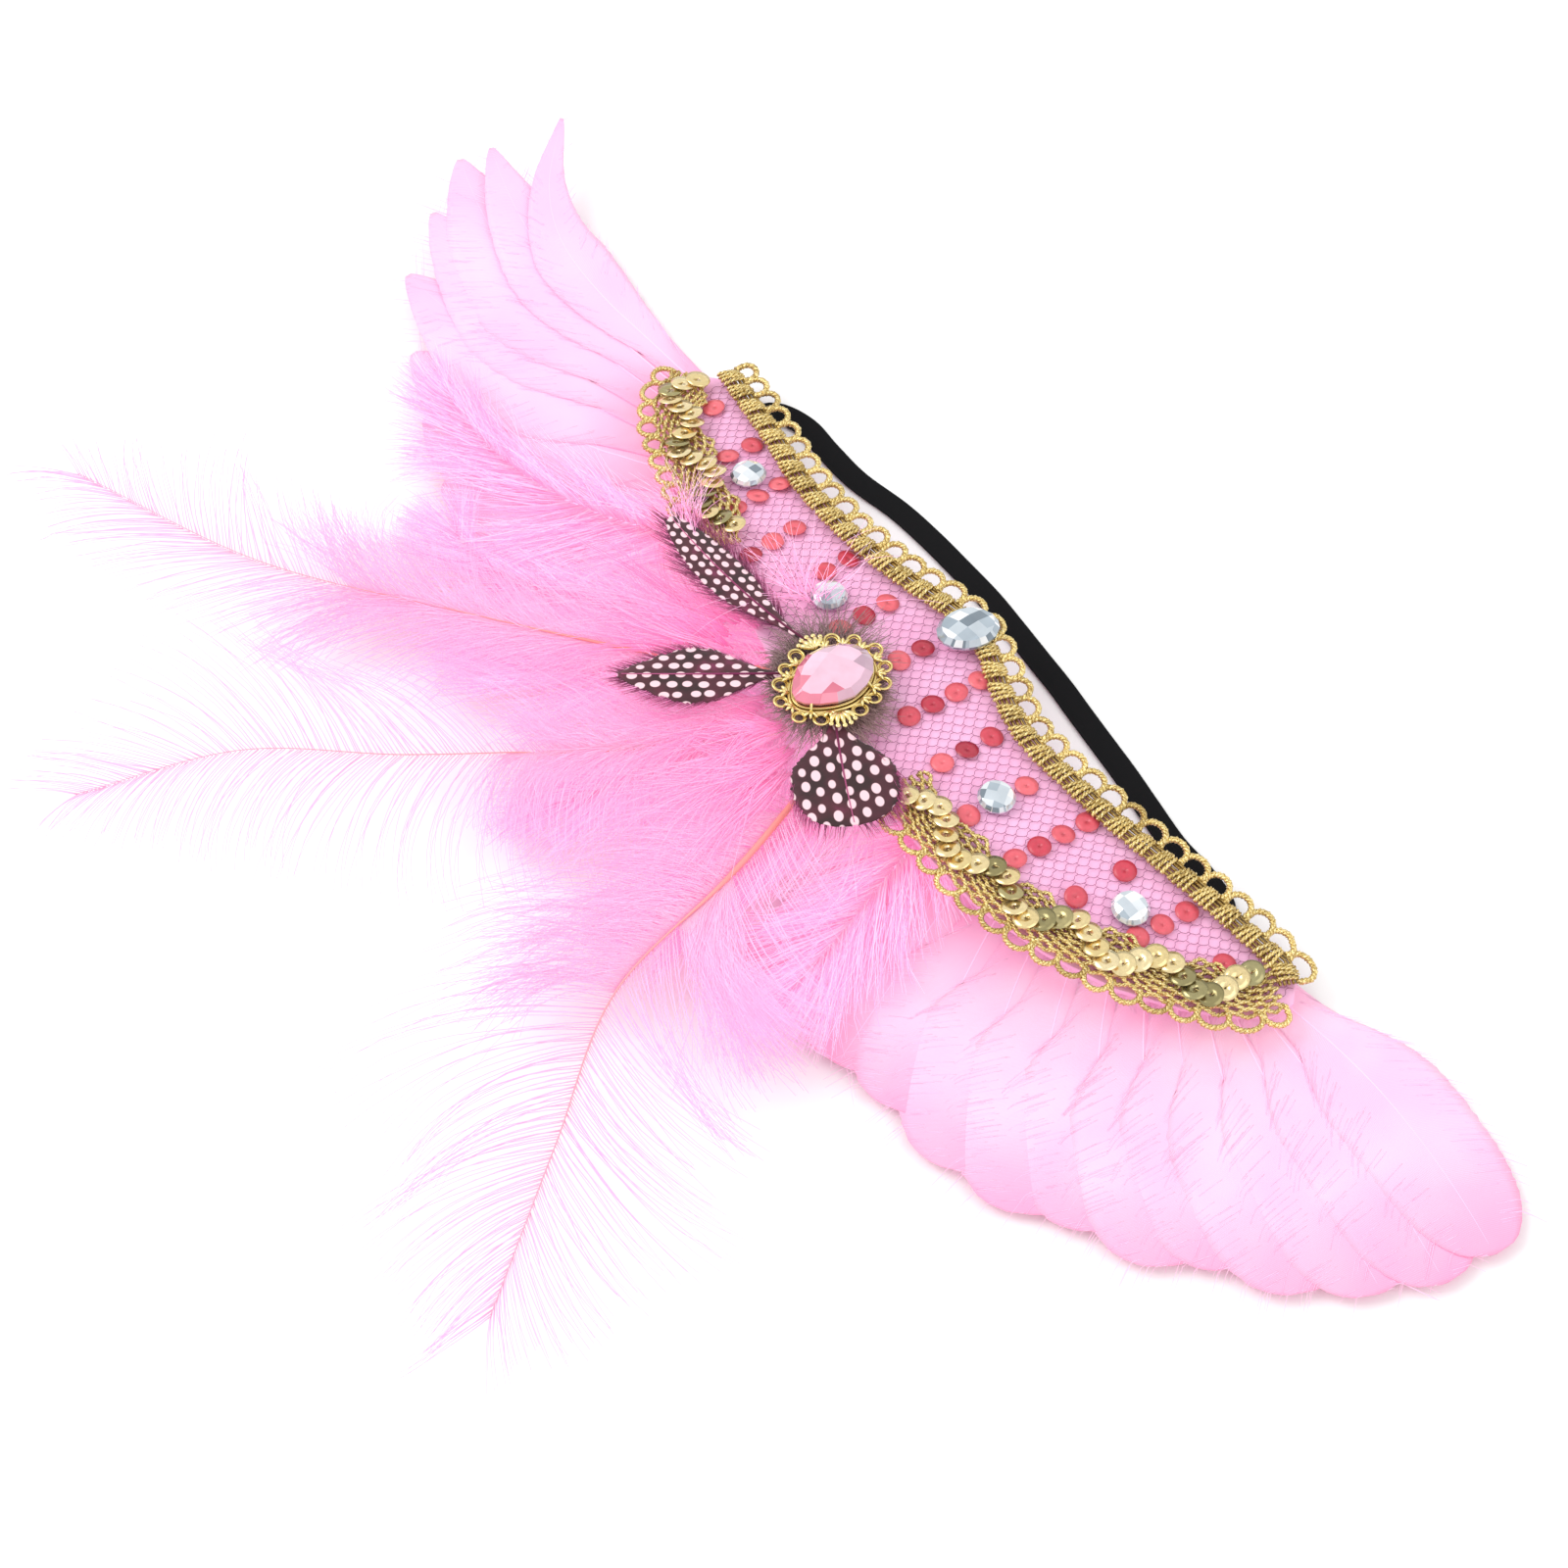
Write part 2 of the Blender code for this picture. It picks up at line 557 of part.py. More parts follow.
# Brooch: down pad, spotted feathers, pierced setting, pear stone
PAD_THICK = 2.2
SPOT_LIFT = BRAID_LIFT + PAD_THICK + GAP + 1.2
BROOCH_LIFT = SPOT_LIFT + VANE_THICK + GAP + 0.4
SETTING_THICK = 1.3
bx, by, b_long, b_wide, b_turn = BROOCH
brooch_base = flat_base(bx, by, BROOCH_LIFT)
pear = oval_outline(bx, by, b_long, b_wide, b_turn, 16, 0.35)
seat = oval_outline(bx, by, b_long + 0.6, b_wide + 0.6, b_turn, 60, 0.25)
seat_line = np.vstack([seat, seat[:1]])
seat_run = float(np.sum(np.linalg.norm(np.diff(seat_line, axis=0), axis=1)))
verts, faces = looped_braid((seat_line, seat_run), 3.0, 4.9, 3.6, 0.9, -1.0, 0.0, closed=True,
                            height=brooch_base)
faces = orient(verts, faces)
add_object("brooch_setting", *thicken(verts, faces, SETTING_THICK), FILIGREE)
stone_base = flat_base(bx, by, BROOCH_LIFT + SETTING_THICK + GAP)
add_object("brooch_stone", *cut_stone(pear, stone_base, 5.2, STONE_CUT), PINK_STONE)


def vane_rows(points, half_width, blunt, across, along, height_at):
    """Rows across a feather: blunt 1 gives a round tip, 0 a pointed one."""
    rows = []
    for i in range(along + 1):
        t = i / along
        p = bezier(points, t)
        d = tangent(points, t)
        nrm = np.array([-d[1], d[0]])
        grow = 0.12 + 0.88 * smooth(t / 0.5)
        tip = 0.10 + 0.90 * math.sqrt(max(0.0, 1.0 - max(0.0, (t - 0.55) / 0.45) ** (2.6 if blunt > 0.5 else 1.5)))
        half = half_width * grow * tip
        row = []
        for j in range(across + 1):
            w = half * (2.0 * j / across - 1.0)
            q = p + nrm * w
            row.append((q[0], q[1], height_at(t, w, q)))
        rows.append(row)
    return rows


def goose_family(tag, table, blunt):
    """Overlapping feathers: each one lies a step below the one before it."""
    curves = [(row[0:2], row[2:4], row[4:6]) for row in table]

    def place_in_fan(k, t, q, nrm):
        """Where a point lies in the fan, counted in feathers, from its nearest neighbours."""
        first = max(0, k - 1)
        last = min(len(curves) - 1, k + 1)
        order = list(range(first, last + 1))
        side = [float(np.dot(bezier(curves[j], t) - q, nrm)) for j in order]
        side = [side[0] - 3 * (side[1] - side[0])] + side + [side[-1] + 3 * (side[-1] - side[-2])]
        order = [first - 3] + order + [last + 3]
        if side[0] > side[-1]:
            side, order = side[::-1], order[::-1]
        return float(np.interp(0.0, side, order))

    for k, row in enumerate(table):
        def height_at(t, w, q, k=k, lift=row[7]):
            d = tangent(curves[k], t)
            nrm = np.array([-d[1], d[0]])
            shingled = SHINGLE * (place_in_fan(k, t, q, nrm) - k)
            return bed(q[0], q[1]) - VANE_THICK * 0.5 + shingled + lift * t ** 3
        rows = vane_rows(curves[k], row[6], blunt, 2, 6, height_at)
        verts, faces = sheet_grid(rows)
        faces = orient(verts, faces)
        add_object("goose_%s_%02d" % (tag, k + 1), *thicken(verts, faces, VANE_THICK), PALE_FEATHER, True)


goose_family("left", GOOSE_LEFT, 0.0)
goose_family("right", GOOSE_RIGHT, 1.0)


def lock_sheet(points, half_width, locks, height_at, spine, reach_back):
    """A feather in locks: a spine strip with curved locks on both sides, in one sheet."""
    along = locks * 2
    verts, left, right, faces = [], [], [], []
    ts = [k / along for k in range(along + 1)]
    for t in ts:
        p, d = bezier(points, t), tangent(points, t)
        nrm = np.array([-d[1], d[0]])
        half = spine * (1.0 - 0.6 * t)
        for store, sgn in ((left, 1.0), (right, -1.0)):
            q = p + nrm * half * sgn
            store.append(len(verts))
            verts.append((q[0], q[1], height_at(q[0], q[1])))
    for k in range(along):
        faces.append((left[k], left[k + 1], right[k + 1], right[k]))
    for k in range(1, along, 2):
        t0, t1 = ts[k], ts[k + 1]
        tm = 0.5 * (t0 + t1)
        size = half_width * (0.35 + 0.65 * math.sin(math.pi * min(1.0, (tm * 0.86 + 0.12)) ** 0.9))
        for store, sgn in ((left, 1.0), (right, -1.0)):
            a, b = store[k], store[k + 1]
            for j, (f, wide) in enumerate(((0.5, 1.25), (1.0, 0.5))):
                lean = reach_back * size * f
                at0 = bezier(points, t0)
                at1 = bezier(points, t1)
                d = tangent(points, tm)
                nrm = np.array([-d[1], d[0]]) * sgn
                mid = 0.5 * (at0 + at1) + nrm * size * f * (1.0 - 0.12 * f) + d * lean * (0.5 + 0.5 * f)
                half = 0.5 * np.linalg.norm(at1 - at0) * wide
                q0, q1 = mid - d * half, mid + d * half
                c = len(verts)
                verts.append((q0[0], q0[1], height_at(q0[0], q0[1])))
                verts.append((q1[0], q1[1], height_at(q1[0], q1[1])))
                faces.append((a, b, c + 1, c))
                a, b = c, c + 1
    # the tip closes with one pointed lock
    p, d = bezier(points, 1.0), tangent(points, 1.0)
    q = p + d * half_width * 0.22
    c = len(verts)
    verts.append((q[0], q[1], height_at(q[0], q[1])))
    faces.append((left[-1], c, right[-1]))
    return verts, faces


for number, row in enumerate(TUFTS, 1):
    points = (row[0:2], row[2:4], row[4:6])

    def height_at(x, y, odd=number % 2):
        level = bed(x, y) + TUFT_LAYER + odd * 1.2
        root = panel_under(x, y) - GAP - VANE_THICK
        return level + (root - level) * smooth((feather_edge(x) - 7.0 - y) / 5.0)
    verts, faces = lock_sheet(points, row[6], row[7], height_at, 2.2, 0.75)
    faces = orient(verts, faces)
    add_object("pink_tuft_%d" % number, *thicken(verts, faces, VANE_THICK), PINK_FEATHER, True)

for number, row in enumerate(PLUMES, 1):
    points = row[0:5]

    def height_at(x, y, level=number - 1):
        return bed(x, y) + PLUME_LAYER + level * PLUME_STEP
    verts, faces = lock_sheet(points, row[5], row[6], height_at, 1.3, 0.55)
    faces = orient(verts, faces)
    add_object("ostrich_plume_%d" % number, *thicken(verts, faces, VANE_THICK), PLUME_PINK, True)

for number, row in enumerate(SPOTTED, 1):
    points = (row[0:2], row[2:4], row[4:6])

    def height_at(t, w, q):
        return panel_under(q[0], min(q[1], 62.0)) + SPOT_LIFT
    rows = vane_rows(points, row[6], 1.0 if number == 3 else 0.0, 4, 6, height_at)
    verts, faces = sheet_grid(rows)
    faces = orient(verts, faces)
    add_object("spotted_feather_%d" % number, *thicken(verts, faces, VANE_THICK), SPOTTED_MAT, True)

# Down pad under the brooch
pad = oval_outline(12.0, 51.0, 15.0, 13.0, 100.0, 14)
pad_base = flat_base(12.0, 51.0, BRAID_LIFT)
add_object("down_pad", *cut_stone(pad, pad_base, PAD_THICK + 1.2, ((0.95, 0.0), (1.0, 0.5), (0.9, 1.0))), DOWN_MAT)

# Elastic
strap = [(x, y, share * panel_under(x, y)) for x, y, share in ELASTIC]
fine = np.array([bezier(strap, t) for t in np.linspace(0, 1, 34)])
rows = []
for k, p in enumerate(fine):
    q = fine[min(k + 1, len(fine) - 1)] - fine[max(k - 1, 0)]
    d = q[:2] / np.linalg.norm(q[:2])
    nrm = np.array([-d[1], d[0]])
    z = max(0.0, p[2])
    rows.append([(p[0] + nrm[0] * w, p[1] + nrm[1] * w, z) for w in (-ELASTIC_WIDTH / 2, ELASTIC_WIDTH / 2)])
verts, faces = sheet_grid(rows)
faces = orient(verts, faces)
add_object("elastic_strap", *thicken(verts, faces, ELASTIC_THICK), ELASTIC_MAT)

# Stand the part on Z = 0 with its box centred on the origin
corners = np.array([tuple(v.co) for o in bpy.data.objects for v in o.data.vertices])
low, high = corners.min(0), corners.max(0)
shift = np.array([-(low[0] + high[0]) / 2, -(low[1] + high[1]) / 2, -low[2]])
total = 0
for obj in bpy.data.objects:
    for v in obj.data.vertices:
        v.co = (v.co[0] + shift[0], v.co[1] + shift[1], v.co[2] + shift[2])
    obj.data.update()
    total += sum(len(p.vertices) - 2 for p in obj.data.polygons)
print("shift", [round(float(s) / MM, 3) for s in shift], "box", [round(float(s) / MM, 1) for s in high - low])
print("objects", len(bpy.data.objects), "triangles", total)
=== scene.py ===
# %% [markdown]
# # A carnival headband with plumes
# This lesson dresses the plain solids of a headband: a net-covered panel edged with gold gimps and flat
# sequins, a row of cut stones, a brooch, a fan of goose feathers, loose marabou tufts, three ostrich plumes
# and a black elastic. The solids fix the sizes. Every piece below is drawn in the maker's millimetres, on
# the same tables as the solids, and then moved into the frame that the solids stand in.

# %% Load the frame
import json
import math

import bmesh
import bpy
import numpy as np
from mathutils import Matrix, Vector

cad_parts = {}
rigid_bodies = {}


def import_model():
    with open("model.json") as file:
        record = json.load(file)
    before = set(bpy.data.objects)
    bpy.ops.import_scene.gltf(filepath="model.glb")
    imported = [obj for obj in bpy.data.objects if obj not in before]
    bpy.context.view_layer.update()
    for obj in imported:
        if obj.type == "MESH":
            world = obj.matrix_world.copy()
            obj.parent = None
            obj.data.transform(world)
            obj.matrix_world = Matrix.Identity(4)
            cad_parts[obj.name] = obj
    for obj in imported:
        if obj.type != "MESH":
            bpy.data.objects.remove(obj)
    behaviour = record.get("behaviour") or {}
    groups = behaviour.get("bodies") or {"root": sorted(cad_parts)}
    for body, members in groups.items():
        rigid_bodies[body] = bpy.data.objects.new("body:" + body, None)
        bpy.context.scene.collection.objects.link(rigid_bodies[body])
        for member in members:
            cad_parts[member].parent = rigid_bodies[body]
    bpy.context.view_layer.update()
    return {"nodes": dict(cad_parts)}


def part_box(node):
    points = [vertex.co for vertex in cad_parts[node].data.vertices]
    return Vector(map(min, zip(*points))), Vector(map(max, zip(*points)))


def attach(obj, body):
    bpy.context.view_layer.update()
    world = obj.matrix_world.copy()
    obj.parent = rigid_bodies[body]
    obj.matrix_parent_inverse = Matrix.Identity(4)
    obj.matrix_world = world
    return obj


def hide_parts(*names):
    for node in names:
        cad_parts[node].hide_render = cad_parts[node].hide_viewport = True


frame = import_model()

MM = 0.001
STONE_PLACE = (4.4, 10.3)         # where the tables put the middle of the oval stone
_low, _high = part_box("centre_stone")
SHIFT = np.array([(_low[0] + _high[0]) * 500.0 - STONE_PLACE[0],
                  (_low[1] + _high[1]) * 500.0 - STONE_PLACE[1], 0.0])
print("nodes", len(frame["nodes"]), "table shift in mm", np.round(SHIFT, 2))

# %% [markdown]
# The panel is a shallow crescent that arches away from the floor. Two small functions give the height of
# its underside and the height of the lowest feather layer. Everything sewn on the panel asks the first
# one, and everything that fans out behind it asks the second, so no piece floats or sinks.

# %% The panel's shape and the feather bed
PANEL_RISE, PANEL_RADIUS, PANEL_LEAN, LEAN_LINE = 18.5, 650.0, 0.052, 25.0
PANEL_THICK, NET_LIFT = 2.0, 2.3
BRAID_LIFT = 3.5                  # underside of the gimps above the panel's underside
FLOOR_LAYER, TUFT_LAYER, PLUME_LAYER, PLUME_STEP = 3.4, 5.8, 8.6, 1.5
ROOT_CLEAR, SHINGLE, VANE_THICK = 2.0, 0.5, 0.8
SEQUIN_RADIUS = 3.0

# x, forehead edge y, feather edge y
PANEL = np.array((
    (131.0, 5.0, 14.0), (126.0, 0.5, 23.0), (112.0, 2.5, 33.0), (95.0, 6.0, 39.0), (76.0, 10.5, 45.0),
    (58.0, 12.0, 50.0), (42.0, 11.5, 54.0), (28.0, 9.5, 57.0), (17.0, 7.0, 58.5), (6.0, 5.5, 59.5),
    (-5.0, 8.0, 60.0), (-17.0, 13.0, 60.5), (-32.0, 16.5, 61.0), (-48.0, 15.5, 61.5), (-64.0, 13.5, 60.0),
    (-84.0, 9.5, 54.0), (-102.0, 6.0, 45.0), (-116.0, 3.5, 33.0), (-125.0, 4.0, 22.0), (-129.0, 8.0, 15.0),
))[::-1]


def smooth(t):
    t = np.clip(t, 0.0, 1.0)
    return t * t * (3.0 - 2.0 * t)


def panel_under(x, y):
    return PANEL_RISE - x * x / (2.0 * PANEL_RADIUS) + (y - LEAN_LINE) * PANEL_LEAN


def forehead_edge(x):
    return np.interp(x, PANEL[:, 0], PANEL[:, 1])


def feather_edge(x):
    return np.interp(x, PANEL[:, 0], PANEL[:, 2])


def bed(x, y):
    """Middle height of the lowest feather layer."""
    edge = feather_edge(x)
    middle = 1.0 - smooth((np.abs(x) - 30.0) / 45.0)
    at_edge = panel_under(np.clip(x, -129.0, 131.0), edge) - 3.2
    at_edge = np.minimum(np.maximum(at_edge, 2.2), 3.4 + 3.6 * middle)
    away = np.hypot(np.maximum(0.0, np.abs(x) - 125.0), np.maximum(0.0, y - edge))
    level = FLOOR_LAYER + (at_edge - FLOOR_LAYER) * (1.0 - smooth(away / 40.0))
    inside = np.minimum(edge - y, 129.0 - np.abs(x))
    climb = smooth((inside - 2.0) / 8.0) * smooth((np.abs(x) - 78.0) / 14.0)
    return level + climb * np.maximum(0.0, panel_under(x, y) - ROOT_CLEAR - level)


print("panel underside at the middle", round(float(panel_under(0.0, 30.0)), 2), "mm up")

# %% [markdown]
# A line table holds many even samples of a smooth curve, so that hundreds of barbs can ask for their
# place and direction at once. Three control points give one bend, more give a curve through them all.

# %% Smooth lines
FINE = 400


def line_table(points):
    """Samples of a smooth line through control points, with their unit directions."""
    pts = np.array(points, float)
    t = np.linspace(0.0, 1.0, FINE + 1)[:, None]
    if len(pts) == 3:
        mid = 2.0 * pts[1] - 0.5 * (pts[0] + pts[2])
        place = (1 - t) ** 2 * pts[0] + 2 * t * (1 - t) * mid + t * t * pts[2]
    else:
        ends = np.vstack([2 * pts[0] - pts[1], pts, 2 * pts[-1] - pts[-2]])
        span = t[:, 0] * (len(pts) - 1)
        k = np.minimum(span.astype(int), len(pts) - 2)
        f = (span - k)[:, None]
        a, b, c, d = ends[k], ends[k + 1], ends[k + 2], ends[k + 3]
        place = 0.5 * (2 * b + (c - a) * f + (2 * a - 5 * b + 4 * c - d) * f * f
                       + (3 * b - a - 3 * c + d) * f ** 3)
    heading = np.gradient(place, axis=0)
    heading /= np.linalg.norm(heading, axis=1)[:, None]
    return place, heading


def on_line(table, t):
    """Place and direction at shares t of a line's parameter."""
    s = np.clip(t, 0.0, 1.0) * FINE
    grid = np.arange(FINE + 1)
    out = []
    for part in table:
        out.append(np.stack([np.interp(s, grid, part[:, i]) for i in range(part.shape[1])], -1))
    return out[0], out[1]


def by_length(points):
    """A line's samples at even steps of its length, and that length."""
    place, _ = line_table(points)
    run = np.concatenate([[0], np.cumsum(np.linalg.norm(np.diff(place, axis=0), axis=1))])
    want = np.linspace(0.0, run[-1], FINE + 1)
    even = np.stack([np.interp(want, run, place[:, i]) for i in range(place.shape[1])], 1)
    heading = np.gradient(even, axis=0)
    heading /= np.linalg.norm(heading, axis=1)[:, None]
    return (even, heading), float(run[-1])


def left_of(direction):
    return np.stack([-direction[..., 1], direction[..., 0]], -1)


# %% [markdown]
# Barbs, threads and cords are all thin closed tubes. One helper makes thousands of them as a single mesh:
# it carries a small frame along each path, so that no tube twists or pinches, and closes both ends. A
# mesh point also keeps two numbers for the materials: its tone, one for the whole strand, and its run,
# from 0 at the root to 1 at the tip.

# %% Strands
def tube_arrays(paths, radii, sides, tone=0.5, closed=False):
    """Closed tubes along paths, N x K x 3, with radii that broadcast to N x K."""
    n, k, _ = paths.shape
    radii = np.broadcast_to(radii, (n, k))
    if closed:
        tang = np.roll(paths, -1, axis=1) - np.roll(paths, 1, axis=1)
    else:
        tang = np.gradient(paths, axis=1)
    tang = tang / np.maximum(np.linalg.norm(tang, axis=2), 1e-9)[:, :, None]
    side = np.cross(tang[:, 0], (0.0, 0.0, 1.0))
    flat = np.linalg.norm(side, axis=1) < 0.2
    side[flat] = np.cross(tang[flat, 0], (1.0, 0.0, 0.0))
    u_axis = np.empty_like(tang)
    for i in range(k):
        side = side - np.sum(side * tang[:, i], axis=1)[:, None] * tang[:, i]
        side = side / np.maximum(np.linalg.norm(side, axis=1), 1e-9)[:, None]
        u_axis[:, i] = side
    v_axis = np.cross(tang, u_axis)
    turn = 2 * np.pi * np.arange(sides) / sides
    ring = (np.cos(turn)[None, None, :, None] * u_axis[:, :, None, :]
            + np.sin(turn)[None, None, :, None] * v_axis[:, :, None, :])
    verts = paths[:, :, None, :] + radii[:, :, None, None] * ring
    index = np.arange(n * k * sides).reshape(n, k, sides)
    if closed:
        start, end = index, np.roll(index, -1, axis=1)
    else:
        start, end = index[:, :-1], index[:, 1:]
    quads = np.stack([start, np.roll(start, -1, axis=2), np.roll(end, -1, axis=2), end], -1)
    polys = [quads.reshape(-1, 4)]
    if not closed:
        polys += [index[:, 0, ::-1].reshape(-1, sides), index[:, -1].reshape(-1, sides)]
    tones = np.broadcast_to(np.asarray(tone, float).reshape(-1, 1, 1), (n, k, sides)).ravel()
    runs = np.broadcast_to(np.linspace(0.0, 1.0, k)[None, :, None], (n, k, sides)).ravel()
    return verts.reshape(-1, 3), polys, tones, runs


def gathered(groups):
    """Several sets of strands as one."""
    verts, polys, tones, runs, start = [], [], [], [], 0
    for v, p, t, r in groups:
        verts.append(v)
        polys += [q + start for q in p]
        tones.append(t)
        runs.append(r)
        start += len(v)
    return np.concatenate(verts), polys, np.concatenate(tones), np.concatenate(runs)


def strand_mesh(name, strands):
    verts, polys, tones, runs = strands
    mesh = bpy.data.meshes.new(name)
    mesh.vertices.add(len(verts))
    mesh.vertices.foreach_set("co", ((verts + SHIFT) * MM).astype(np.float32).ravel())
    corners = np.concatenate([p.ravel() for p in polys]).astype(np.int32)
    sizes = np.concatenate([np.full(len(p), p.shape[1]) for p in polys])
    mesh.loops.add(len(corners))
    mesh.loops.foreach_set("vertex_index", corners)
    mesh.polygons.add(len(sizes))
    starts = np.concatenate([[0], np.cumsum(sizes)[:-1]]).astype(np.int32)
    mesh.polygons.foreach_set("loop_start", starts)
    mesh.update(calc_edges=True)
    for label, values in (("tone", tones), ("run", runs)):
        layer = mesh.attributes.new(label, "FLOAT", "POINT")
        layer.data.foreach_set("value", values.astype(np.float32))
    mesh.shade_smooth()
    return mesh


def add_piece(name, mesh, material, nodes=()):
    """Link a finished mesh, give it its finish, and hang it on the band."""
    obj = bpy.data.objects.new(name, mesh)
    bpy.context.scene.collection.objects.link(obj)
    mesh.materials.clear()
    mesh.materials.append(material)
    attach(obj, "root")
    if nodes:
        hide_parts(*nodes)
    tris = sum(len(p.vertices) - 2 for p in mesh.polygons) if len(mesh.polygons) < 3000 else None
    print(name, "faces", len(mesh.polygons), "" if tris is None else "triangles %d" % tris)
    return obj


def twisted(path, radius, turn_length, strands=2, phase=0.0):
    """Strand paths that wind round a K x 3 path, as the plies of a cord do."""
    run = np.concatenate([[0], np.cumsum(np.linalg.norm(np.diff(path, axis=0), axis=1))])
    tang = np.gradient(path, axis=0)
    tang /= np.linalg.norm(tang, axis=1)[:, None]
    side = np.cross(tang, (0.0, 0.0, 1.0))
    long = np.linalg.norm(side, axis=1)
    side = np.where(long[:, None] > 0.05, side / np.maximum(long, 1e-6)[:, None], (1.0, 0.0, 0.0))
    lift = np.cross(side, tang)
    out = []
    for k in range(strands):
        a = phase + 2 * np.pi * (run / turn_length + k / strands)
        out.append(path + radius * (np.cos(a)[:, None] * side + np.sin(a)[:, None] * lift))
    return out


def resampled(path, count):
    run = np.concatenate([[0], np.cumsum(np.linalg.norm(np.diff(path, axis=0), axis=1))])
    want = np.linspace(0.0, run[-1], count)
    return np.stack([np.interp(want, run, path[:, i]) for i in range(path.shape[1])], 1)


print("strand tools ready")

# %% [markdown]
# ## Finishes
# Each finish is a small node tree on Principled BSDF. Fabrics and feathers get a soft sheen, a colour
# that drifts, and fine relief from noise in Object coordinates. Strands read the tone and run numbers, so
# a barb can be deep pink at its root and lilac at its tip.

# %% Node helpers
def new_finish(name, rough, metal=0.0, **sockets):
    mat = bpy.data.materials.new(name)
    mat.use_nodes = True
    nodes, links = mat.node_tree.nodes, mat.node_tree.links
    shader = nodes["Principled BSDF"]
    shader.inputs["Roughness"].default_value = rough
    shader.inputs["Metallic"].default_value = metal
    for key, value in sockets.items():
        shader.inputs[key.replace("_", " ")].default_value = value
    return mat, nodes, links, shader


def ramp_node(nodes, stops):
    """A colour ramp: stops are (place, (r, g, b))."""
    ramp = nodes.new("ShaderNodeValToRGB")
    while len(ramp.color_ramp.elements) < len(stops):
        ramp.color_ramp.elements.new(0.5)
    for mark, (place, color) in zip(ramp.color_ramp.elements, stops):
        mark.position = place
        mark.color = (*color, 1.0)
    return ramp


def noise_node(nodes, links, scale, detail=3.0, stretch=None, rough=0.55):
    """Noise in Object coordinates: scale is in cells per metre."""
    where = nodes.new("ShaderNodeTexCoord")
    noise = nodes.new("ShaderNodeTexNoise")
    noise.inputs["Scale"].default_value = scale
    noise.inputs["Detail"].default_value = detail
    noise.inputs["Roughness"].default_value = rough
    if stretch:
        mapping = nodes.new("ShaderNodeMapping")
        mapping.inputs["Scale"].default_value = stretch
        links.new(where.outputs["Object"], mapping.inputs["Vector"])
        links.new(mapping.outputs["Vector"], noise.inputs["Vector"])
    else:
        links.new(where.outputs["Object"], noise.inputs["Vector"])
    return noise


def mark_node(nodes, label):
    mark = nodes.new("ShaderNodeAttribute")
    mark.attribute_name = label
    return mark


def mixed(nodes, links, share, first, second, blend="MIX"):
    """Mix two colours; each may be a socket or a plain colour, and share a socket or a number."""
    mix = nodes.new("ShaderNodeMix")
    mix.data_type = "RGBA"
    mix.blend_type = blend
    for value, socket in ((share, mix.inputs[0]), (first, mix.inputs[6]), (second, mix.inputs[7])):
        if isinstance(value, bpy.types.NodeSocket):
            links.new(value, socket)
        elif isinstance(value, (int, float)):
            socket.default_value = value
        else:
            socket.default_value = (*value, 1.0)
    return mix.outputs[2]


def relief(nodes, links, shader, height, strength, distance):
    bump = nodes.new("ShaderNodeBump")
    bump.inputs["Strength"].default_value = strength
    bump.inputs["Distance"].default_value = distance
    links.new(height, bump.inputs["Height"])
    links.new(bump.outputs["Normal"], shader.inputs["Normal"])


# %% Feather finishes
def strand_finish(name, root, middle, tip, spread, rough=0.6, sheen=0.35, painted_glow=0.0):
    """Barbs: a colour from root to tip, and a lighter or deeper tone for each strand.

    painted_glow is painted light: an emission in the barb's own colour that lifts the shade where
    dense strands cover each other, standing in for the light a thin barb lets through to its neighbours.
    """
    mat, nodes, links, shader = new_finish(name, rough, Sheen_Weight=sheen, Sheen_Roughness=0.4,
                                           Specular_IOR_Level=0.3)
    run = mark_node(nodes, "run")
    along = ramp_node(nodes, ((0.0, root), (0.35, middle), (1.0, tip)))
    links.new(run.outputs["Fac"], along.inputs["Fac"])
    tone = mark_node(nodes, "tone")
    shade = ramp_node(nodes, ((0.0, spread[0]), (1.0, spread[1])))
    links.new(tone.outputs["Fac"], shade.inputs["Fac"])
    colour = mixed(nodes, links, 1.0, along.outputs["Color"], shade.outputs["Color"], "MULTIPLY")
    links.new(colour, shader.inputs["Base Color"])
    if painted_glow:
        links.new(colour, shader.inputs["Emission Color"])
        shader.inputs["Emission Strength"].default_value = painted_glow
    fine = noise_node(nodes, links, 3000.0, 2.0)
    relief(nodes, links, shader, fine.outputs["Fac"], 0.25, 0.0001)
    return mat


